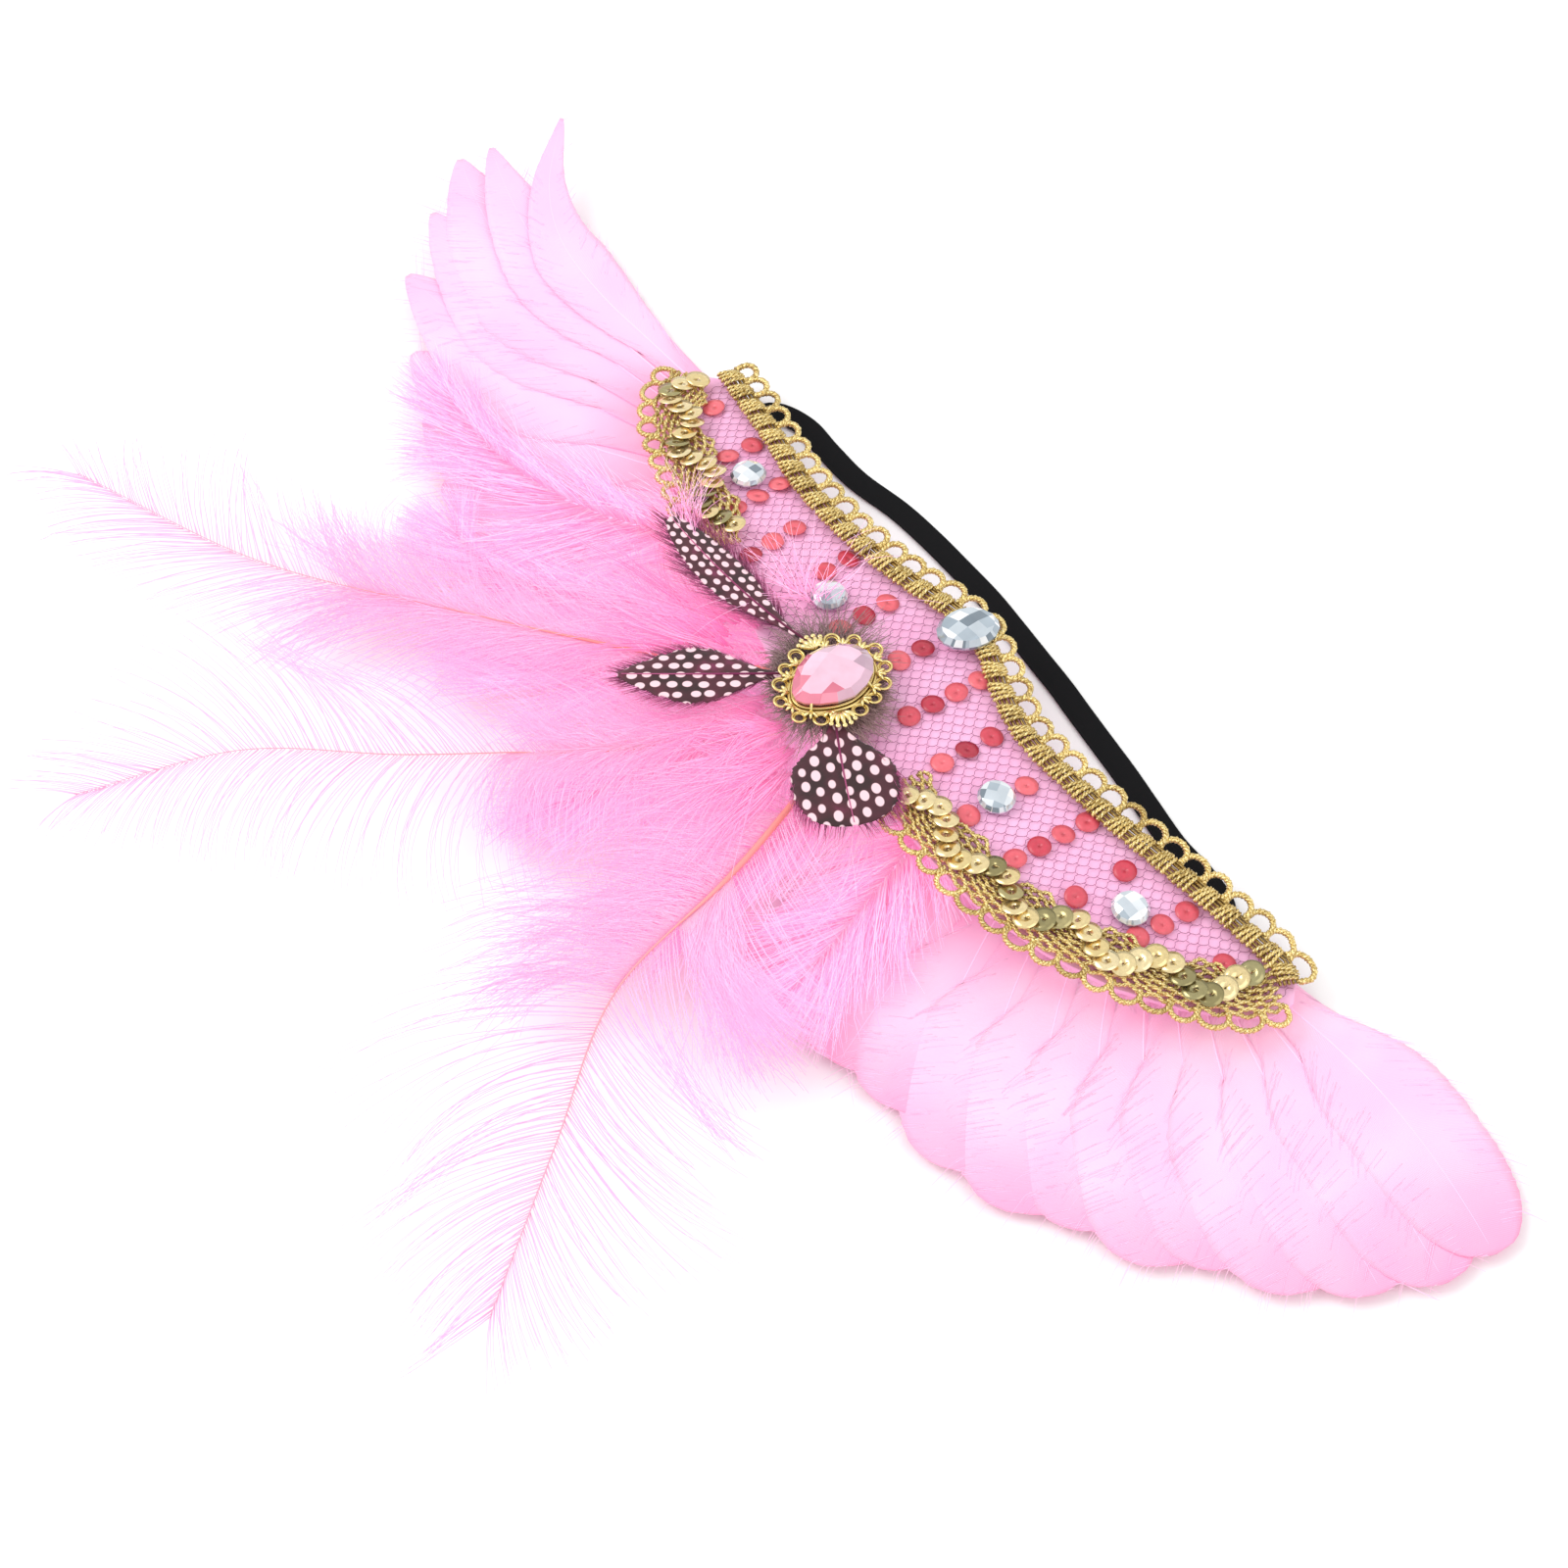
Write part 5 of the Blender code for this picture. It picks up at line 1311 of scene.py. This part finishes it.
# %% Locks of marabou over the plume roots
# root x, root y, spread of the roots, heading and spread in degrees, locks, shortest and longest
LOCKS = ((14.0, 68.0, 10.0, 62.0, 30.0, 26, 22.0, 50.0), (1.0, 74.0, 9.0, 84.0, 30.0, 22, 20.0, 46.0),
         (40.0, 62.0, 9.0, 22.0, 15.0, 22, 30.0, 62.0))
LOCK_BARBS = 11


def marabou_locks():
    """Barbs that cling together: each lock has one root and one heading."""
    rng = np.random.default_rng(83)
    groups = []
    for x, y, around, heading, spread, count, short, long in LOCKS:
        root = np.repeat(np.array((x, y)) + rng.normal(0.0, around * 0.5, (count, 2)), LOCK_BARBS, axis=0)
        a = np.repeat(np.radians(heading + spread * rng.normal(0.0, 0.6, count)), LOCK_BARBS)[:, None]
        turn = np.repeat(rng.normal(0.0, 0.55, count), LOCK_BARBS)[:, None]
        reach = np.repeat(rng.uniform(short, long, count), LOCK_BARBS)[:, None]
        total = count * LOCK_BARBS
        share = np.linspace(0.0, 1.0, 8)[None, :]
        way = a + rng.normal(0.0, 0.09, (total, 1)) + (turn + rng.normal(0.0, 0.16, (total, 1))) * share
        step = reach * rng.uniform(0.6, 1.0, (total, 1)) / 7.0
        px = root[:, :1] + rng.normal(0.0, 0.5, (total, 1)) + np.cumsum(np.cos(way) * step, axis=1)
        py = root[:, 1:] + rng.normal(0.0, 0.5, (total, 1)) + np.cumsum(np.sin(way) * step, axis=1)
        pz = bed(px, py) + LOCK_LAYER + 1.2 * rng.random((total, 1)) * np.sin(math.pi * share)
        tone = np.repeat(rng.random(count), LOCK_BARBS)
        groups.append(tube_arrays(np.stack([px, py, pz], -1), np.linspace(0.19, 0.05, 8)[None], 3, tone))
    return gathered(groups)


LOCK_LAYER = PLUME_LAYER + 2.0 * PLUME_STEP + 3.4
add_piece("marabou_locks", strand_mesh("marabou locks", marabou_locks()), DEEP_MARABOU,
          ("pink_tuft_4",))

# %% Ostrich plumes
# five points of each quill
QUILLS = (
    ((26.0, 54.0), (60.0, 82.0), (98.0, 112.0), (144.0, 146.0), (200.0, 170.0)),
    ((10.0, 55.0), (34.0, 103.0), (63.0, 148.0), (91.0, 184.0), (104.0, 226.0)),
    ((-3.0, 56.0), (-18.0, 104.0), (-30.0, 148.0), (-58.0, 185.0), (-88.0, 224.0)),
)
QUILL_ROOTS = (0.55, 0.6, 1.0)        # half thickness of each quill at its root
# Barb sets of each plume. Side (1 is left of the quill), count, from and to along the quill, then at the
# quarters of the quill: length, leaving angle and bend; a plus bend turns away from the tip. Last, looseness.
BARB_SETS = (
    ((1, 200, 0.0, 1.0, (26, 36, 42, 36, 20), (0.9, 0.75, 0.7, 0.6, 0.3), (-0.3, -0.2, 0.0, 0.2, 0.1), 0.09),
     (-1, 200, 0.0, 1.0, (24, 32, 42, 36, 18), (0.8, 0.6, 0.6, 0.85, 0.35), (-0.2, 0.2, 0.2, 0.3, 0.2), 0.09),
     (1, 400, 0.05, 0.58, (20, 34, 36, 24, 10), (0.7, 0.6, 0.5, 0.5, 0.3), (-0.2, -0.1, 0.1, 0.1, 0.0), 0.28),
     (-1, 340, 0.20, 0.58, (20, 26, 38, 24, 10), (0.7, 0.5, 0.5, 0.5, 0.3), (0.0, 0.3, 0.3, 0.2, 0.0), 0.28)),
    ((1, 195, 0.0, 1.0, (34, 46, 50, 38, 16), (1.2, 1.05, 0.95, 0.8, 0.35), (0.3, 0.7, 0.8, 0.6, 0.2), 0.07),
     (-1, 195, 0.0, 1.0, (30, 46, 52, 46, 18), (1.1, 1.05, 1.05, 1.0, 0.35), (-0.5, -0.6, -0.6, -0.4, 0.0), 0.07),
     (1, 480, 0.0, 0.42, (30, 34, 26, 14, 10), (0.9, 0.8, 0.7, 0.6, 0.3), (0.2, 0.5, 0.6, 0.4, 0.0), 0.30),
     (-1, 360, 0.0, 0.36, (24, 26, 20, 14, 10), (0.9, 0.8, 0.7, 0.6, 0.3), (-0.3, -0.4, -0.4, 0.0, 0.0), 0.30)),
    ((1, 190, 0.12, 1.0, (24, 50, 58, 50, 24), (0.8, 0.85, 0.8, 0.7, 0.3), (0.3, 0.5, 0.5, 0.4, 0.1), 0.08),
     (-1, 200, 0.12, 1.0, (24, 56, 64, 48, 24), (1.5, 1.5, 1.35, 1.0, 0.4), (-0.8, -1.0, -0.9, -0.5, 0.0), 0.08),
     (-1, 420, 0.14, 0.50, (20, 40, 40, 20, 10), (1.4, 1.4, 1.2, 0.9, 0.3), (-0.6, -0.7, -0.6, -0.3, 0.0), 0.28),
     (1, 300, 0.26, 0.36, (20, 48, 40, 20, 10), (0.5, 0.7, 0.8, 0.7, 0.3), (0.2, 0.4, 0.4, 0.3, 0.0), 0.30)),
)


def plume(number, quill, sets):
    rng = np.random.default_rng(300 + number)
    line, length = by_length(quill)
    base = PLUME_LAYER + (number - 1) * PLUME_STEP
    quarters = np.linspace(0.0, 1.0, 5)

    def height(x, y, t, share, chance):
        arch = 3.0 * np.sin(np.pi * np.clip(share * 0.8, 0, 1)) * (0.3 + 0.7 * chance)
        return bed(x, y) + base - 0.6 + arch + 0.5 - 2.0 * share * chance

    groups = []
    for side, count, first, last, reach, leave, bend, loose in sets:
        downy = loose > 0.2
        paths = barbs_on(line, rng, count, float(side), lambda t: np.interp(t, quarters, reach),
                         lambda t: np.interp(t, quarters, leave), lambda t: np.interp(t, quarters, bend), height,
                         7 if downy else 9, 30 if downy else 16, loose, (first, last))
        thick = np.linspace(0.13, 0.05, 7) if downy else np.linspace(0.15, 0.055, 9)
        groups.append(tube_arrays(paths, thick[None], 3, rng.random(count)))
    t = np.linspace(0.0, 1.0, 60)
    spine = on_line(line, t)[0]
    # the middle quill starts under its own fluff
    sunk = 1.8 * (1.0 - smooth((t - 0.34) / 0.08)) if number == 2 else 0.0
    z = bed(spine[:, 0], spine[:, 1]) + base + 0.4 - sunk
    stout = QUILL_ROOTS[number - 1] * (1.0 - 0.6 * smooth((t - 0.22) / 0.16)) * (1.0 - 0.7 * t)
    root = tube_arrays(np.concatenate([spine, z[:, None]], 1)[None], stout[None], 7, np.array([0.5]))
    return gathered(groups), root


for number, (quill, sets) in enumerate(zip(QUILLS, BARB_SETS), 1):
    barbs, stem = plume(number, quill, sets)
    add_piece("ostrich_barbs_%d" % number, strand_mesh("ostrich %d" % number, barbs), OSTRICH,
              ("ostrich_plume_%d" % number,))
    add_piece("ostrich_quill_%d" % number, strand_mesh("ostrich quill %d" % number, stem), QUILL_RED,
              ("ostrich_plume_%d" % number,))

# %% [markdown]
# ## Spotted feathers and down
# Three guinea-fowl feathers lie round the brooch. Their vanes are short grids with the dots painted by a
# Voronoi pattern on the UV map, measured in millimetres so that the dots keep their size, and a fringe of
# free barbs. The brown down at their roots is a cloud of fine short strands on a soft pad.

# %% Spotted feathers
# root x, root y, bend x, bend y, tip x, tip y, half width, power of the tip
SPOTTED = (
    (17.0, 58.0, 31.0, 77.0, 45.0, 95.0, 10.0, 1.25), (22.0, 48.0, 50.0, 52.0, 84.0, 51.0, 6.5, 1.5),
    (1.0, 57.0, -14.0, 65.5, -31.0, 74.0, 14.8, 2.6),
)
DOT_PITCH, DOT_SIZES = 4.6, (0.92, 0.78, 1.08)


def spotted_points(line, t, w, rise=0.45):
    p, d = on_line(line, t)
    q = p + left_of(d) * w[..., None]
    z = panel_under(q[..., 0], np.minimum(q[..., 1], 62.0)) + SPOT_LIFT + rise
    return np.concatenate([q, z[..., None]], -1)


def spotted_feather(number, row):
    rng = np.random.default_rng(400 + number)
    line, length = by_length((row[0:2], row[2:4], row[4:6]))
    along, across = 60, 20
    bm = bmesh.new()
    bmesh.ops.create_grid(bm, x_segments=along, y_segments=across, size=1.0, calc_uvs=True)
    uv = bm.loops.layers.uv.verify()
    co = np.array([v.co for v in bm.verts])
    t, v = (co[:, 0] + 1.0) / 2.0, co[:, 1]
    ragged = 1.0 - 0.10 * rng.random(along + 1)[np.round(t * along).astype(int)] * (np.abs(v) > 0.85)
    w = v * vane_half(t, row[6], row[7]) * ragged
    slide = np.clip(t + 0.10 * (1.0 - t) * np.abs(v) ** 1.2, 0, 1)
    placed = spotted_points(line, slide, w)
    placed[:, 2] += 0.5 * np.cos(np.clip(v, -1, 1) * 1.5)
    for face in bm.faces:
        for loop in face.loops:
            i = loop.vert.index
            pitch = DOT_PITCH * DOT_SIZES[number - 1]
            loop[uv].uv = (slide[i] * length / pitch + 10.0, w[i] / pitch * 1.35 + 10.0)
    for vert, place in zip(bm.verts, placed):
        vert.co = (place + SHIFT) * MM
    mesh = bpy.data.meshes.new("spotted vane %d" % number)
    bm.to_mesh(mesh)
    bm.free()
    mesh.shade_smooth()
    obj = add_piece("spotted_vane_%d" % number, mesh, SPOTTED_VANE,
                    ("spotted_feather_%d" % number,))
    wall = obj.modifiers.new("wall", "SOLIDIFY")
    wall.thickness = 0.2 * MM
    wall.offset = 0.0
    count = 420
    ts = np.sort(rng.uniform(0.12, 1.0, count))
    sides = rng.choice((-1.0, 1.0), count)
    paths = []
    for a, sgn in zip(ts, sides):
        half = float(vane_half(np.array([a]), row[6], row[7])[0])
        start = np.array([min(1.0, a + 0.10 * (1 - a) * 0.8)])
        root = spotted_points(line, start, np.array([sgn * half * 0.82]))[0]
        _, d = on_line(line, start)
        out = left_of(d)[0] * sgn
        lean = 0.75 + 0.5 * a + rng.normal(0, 0.12)
        go = np.array([*(out * math.cos(lean) + d[0] * math.sin(lean)), rng.normal(-0.06, 0.05)])
        curl = np.array([*(d[0] * 0.25), 0.0])
        reach = rng.uniform(2.4, 5.2) * (0.75 + 0.5 * (half / row[6])) * (1.5 if number == 2 else 1.0)
        u = np.linspace(0, 1, 6)[:, None]
        paths.append(root + go * reach * u + curl * reach * u * u)
    fringe = tube_arrays(np.array(paths), np.linspace(0.11, 0.04, 6)[None], 3, rng.random(count))
    t = np.linspace(0, 0.98, 24)
    spine = spotted_points(line, t, 0 * t, 1.15)
    quill = tube_arrays(spine[None], np.linspace(0.42, 0.1, 24)[None], 6, 0.2)
    return gathered([fringe, quill])


fringes = [spotted_feather(number, row) for number, row in enumerate(SPOTTED, 1)]
add_piece("spotted_fringes", strand_mesh("spotted fringes", gathered(fringes)), GUINEA_STRANDS)


# %% Down round the brooch
WISP_UP, WISP_DOWN = -0.75, 2.6


def down_strands():
    rng = np.random.default_rng(61)
    count = 2100
    a = rng.uniform(0, 2 * np.pi, count)
    r = np.sqrt(rng.uniform(0.25, 1.0, count))
    centre = np.array((10.0, 52.5))
    xy = centre + np.stack([15.0 * r * np.cos(a), 13.5 * r * np.sin(a)], 1)
    out = np.stack([np.cos(a), np.sin(a)], 1)
    # longer wisps reach over the net on one side and over the big spotted feather's root on the other
    wisp = np.maximum(0.0, np.cos(a - WISP_UP)) ** 3 + 0.7 * np.maximum(0.0, np.cos(a - WISP_DOWN)) ** 3
    length = rng.uniform(2.5, 6.0, count) * (1.0 + 3.4 * wisp * rng.random(count))
    swing = rng.normal(0.0, 0.7, count)
    u = np.linspace(0, 1, 5)[None, :, None]
    turned = np.stack([out[:, 0] * np.cos(swing) - out[:, 1] * np.sin(swing),
                       out[:, 0] * np.sin(swing) + out[:, 1] * np.cos(swing)], 1)
    path = xy[:, None, :] + turned[:, None, :] * length[:, None, None] * u
    path = path + left_of(turned)[:, None, :] * (rng.normal(0, 1.2, count)[:, None, None] * u * u)
    base = panel_under(path[..., 0], path[..., 1]) + BRAID_LIFT + 2.4
    z = base + 1.8 * rng.random((count, 1)) * np.sin(np.pi * np.clip(u[..., 0], 0, 1) * 0.9) + 0.6
    z = np.minimum(z, base + 2.6)
    return tube_arrays(np.concatenate([path, z[..., None]], -1), np.linspace(0.15, 0.05, 5)[None], 3,
                       rng.random(count))


def down_pad():
    """A flat lumpy pad that the brooch is glued to."""
    bm = bmesh.new()
    bmesh.ops.create_icosphere(bm, subdivisions=4, radius=1.0)
    c, s = math.cos(math.radians(100.0)), math.sin(math.radians(100.0))
    base = panel_under(12.0, 51.0) + BRAID_LIFT
    for v in bm.verts:
        lump = 1.0 + 0.05 * math.sin(9.0 * v.co.x + 5.0 * v.co.y) + 0.04 * math.sin(13.0 * v.co.y - 7.0 * v.co.z)
        u, w = 14.6 * v.co.x * lump, 12.6 * v.co.y * lump
        x, y = 12.0 + c * u - s * w, 51.0 + s * u + c * w
        z = base + 1.7 + 1.65 * v.co.z - (x - 12.0) * 12.0 / PANEL_RADIUS + (y - 51.0) * PANEL_LEAN
        v.co = (np.array((x, y, z)) + SHIFT) * MM
    bmesh.ops.recalc_face_normals(bm, faces=bm.faces[:])
    mesh = bpy.data.meshes.new("down pad")
    bm.to_mesh(mesh)
    bm.free()
    mesh.shade_smooth()
    return mesh


def down_finish():
    mat, nodes, links, shader = new_finish("down pad", 0.9, Sheen_Weight=0.4)
    fine = noise_node(nodes, links, 900.0, 4.0)
    colour = ramp_node(nodes, ((0.3, (0.14, 0.07, 0.07)), (0.7, (0.42, 0.27, 0.27))))
    links.new(fine.outputs["Fac"], colour.inputs["Fac"])
    links.new(colour.outputs["Color"], shader.inputs["Base Color"])
    relief(nodes, links, shader, fine.outputs["Fac"], 0.8, 0.0006)
    return mat


DOWN_PAD = down_finish()
add_piece("down_pad_core", down_pad(), DOWN_PAD, ("down_pad",))
add_piece("down_fluff", strand_mesh("down fluff", down_strands()), DOWN_STRANDS, ("down_pad",))

# %% [markdown]
# ## The elastic
# The back strap is flat woven elastic, ribbed along its length. A grid follows its line on the floor, its
# ribs are pushed out of the grid, and Solidify gives the thickness.

# %% Elastic
# x, y, height of its underside as a share of the height of the panel's back there
ELASTIC = (
    (104.0, 12.0, 0.78), (111.5, 4.5, 0.58), (112.5, -4.5, 0.14), (104.0, -8.8, 0.0), (92.5, -8.6, 0.0),
    (79.0, -8.8, 0.0), (63.5, -11.6, 0.0), (50.0, -12.6, 0.0), (37.0, -12.8, 0.0), (24.0, -12.8, 0.0),
    (12.0, -11.9, 0.0), (0.0, -10.8, 0.0), (-11.5, -9.8, 0.0), (-22.6, -8.3, 0.0), (-33.7, -6.9, 0.0),
    (-44.8, -5.5, 0.0), (-56.0, -3.7, 0.0), (-70.0, -1.6, 0.0), (-82.0, -1.4, 0.0), (-92.0, 0.6, 0.07),
    (-98.0, 7.0, 0.51), (-95.0, 14.5, 0.84),
)
ELASTIC_WIDTH, ELASTIC_THICK, ELASTIC_RIBS = 7.2, 1.2, 9


def elastic_strap():
    line, _ = line_table([(x, y, share * panel_under(x, y)) for x, y, share in ELASTIC])
    flat, heading = line[:, :2], np.gradient(line[:, :2], axis=0)
    heading /= np.linalg.norm(heading, axis=1)[:, None]
    table = (np.concatenate([flat, line[:, 2:3]], 1), heading)
    bm = bmesh.new()
    bmesh.ops.create_grid(bm, x_segments=130, y_segments=ELASTIC_RIBS * 2, size=1.0)
    co = np.array([v.co for v in bm.verts])
    t, v = (co[:, 0] + 1.0) / 2.0, co[:, 1]
    place, way = on_line(table, t)
    q = place[:, :2] + left_of(way) * (v * ELASTIC_WIDTH / 2.0)[:, None]
    rib = 0.13 * np.cos(v * math.pi * ELASTIC_RIBS) - 0.16
    z = np.maximum(place[:, 2], 0.0) + ELASTIC_THICK + rib
    for vert, (x, y), h in zip(bm.verts, q, z):
        vert.co = (np.array((x, y, h)) + SHIFT) * MM
    bmesh.ops.recalc_face_normals(bm, faces=bm.faces[:])
    if sum(f.normal.z for f in bm.faces) < 0:
        bmesh.ops.reverse_faces(bm, faces=bm.faces[:])
    mesh = bpy.data.meshes.new("elastic strap")
    bm.to_mesh(mesh)
    bm.free()
    mesh.shade_smooth()
    obj = add_piece("ribbed_elastic", mesh, ELASTIC_BLACK, ("elastic_strap",))
    wall = obj.modifiers.new("wall", "SOLIDIFY")
    wall.thickness = (ELASTIC_THICK - 0.35) * MM
    wall.offset = -1.0
    return obj


elastic_strap()

# %% [markdown]
# ## Table, light and camera
# The photograph is high key: a white table under broad soft light, seen from above one shoulder. A pale
# floor, a bright world and two big area lamps give the same even light with faint shadows.

# %% Floor, light and camera
def floor():
    bm = bmesh.new()
    bmesh.ops.create_grid(bm, x_segments=1, y_segments=1, size=3.0)
    mesh = bpy.data.meshes.new("table")
    bm.to_mesh(mesh)
    bm.free()
    mat, nodes, links, shader = new_finish("white table", 0.9, Specular_IOR_Level=0.1)
    grain = noise_node(nodes, links, 40.0, 2.0)
    colour = ramp_node(nodes, ((0.3, (0.93, 0.93, 0.93)), (0.7, (0.96, 0.96, 0.96))))
    links.new(grain.outputs["Fac"], colour.inputs["Fac"])
    links.new(colour.outputs["Color"], shader.inputs["Base Color"])
    mesh.materials.append(mat)
    obj = bpy.data.objects.new("table", mesh)
    bpy.context.scene.collection.objects.link(obj)


floor()

world = bpy.data.worlds.new("studio")
world.use_nodes = True
world.node_tree.nodes["Background"].inputs["Color"].default_value = (1.0, 1.0, 1.0, 1.0)
world.node_tree.nodes["Background"].inputs["Strength"].default_value = 0.95
bpy.context.scene.world = world


def soft_lamp(name, place, target, size, power):
    lamp = bpy.data.lights.new(name, "AREA")
    lamp.size = size
    lamp.energy = power
    obj = bpy.data.objects.new(name, lamp)
    obj.location = place
    obj.rotation_euler = (Vector(target) - Vector(place)).to_track_quat("-Z", "Y").to_euler()
    bpy.context.scene.collection.objects.link(obj)


VIEW_TARGET = Vector((-0.00696, -0.04083, 0.0))
soft_lamp("key", (0.9, 0.9, 1.6), VIEW_TARGET, 1.2, 16.0)
soft_lamp("fill", (-1.4, -0.4, 1.3), VIEW_TARGET, 1.6, 6.0)

VIEW_DISTANCE, VIEW_AZIMUTH, VIEW_ELEVATION, VIEW_FIELD = 1.070, 234.0, 54.0, 22.0
azimuth, elevation = math.radians(VIEW_AZIMUTH), math.radians(VIEW_ELEVATION)
back = Vector((math.sin(azimuth) * math.cos(elevation), -math.cos(azimuth) * math.cos(elevation),
               math.sin(elevation)))
camera = bpy.data.cameras.new("camera")
camera.sensor_width = 36.0
camera.sensor_fit = "HORIZONTAL"
camera.angle = math.radians(VIEW_FIELD)
camera.clip_start, camera.clip_end = 0.05, 20.0
camera_object = bpy.data.objects.new("camera", camera)
camera_object.location = VIEW_TARGET + back * VIEW_DISTANCE
camera_object.rotation_euler = (-back).to_track_quat("-Z", "Y").to_euler()
bpy.context.scene.collection.objects.link(camera_object)
bpy.context.scene.camera = camera_object
bpy.context.scene.view_settings.view_transform = "Standard"

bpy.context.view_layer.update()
TRIANGLES = sum(len(f.vertices) - 2 for o in bpy.data.objects if o.type == 'MESH' and o.data.materials
                for f in o.data.polygons)
print('triangles', TRIANGLES)
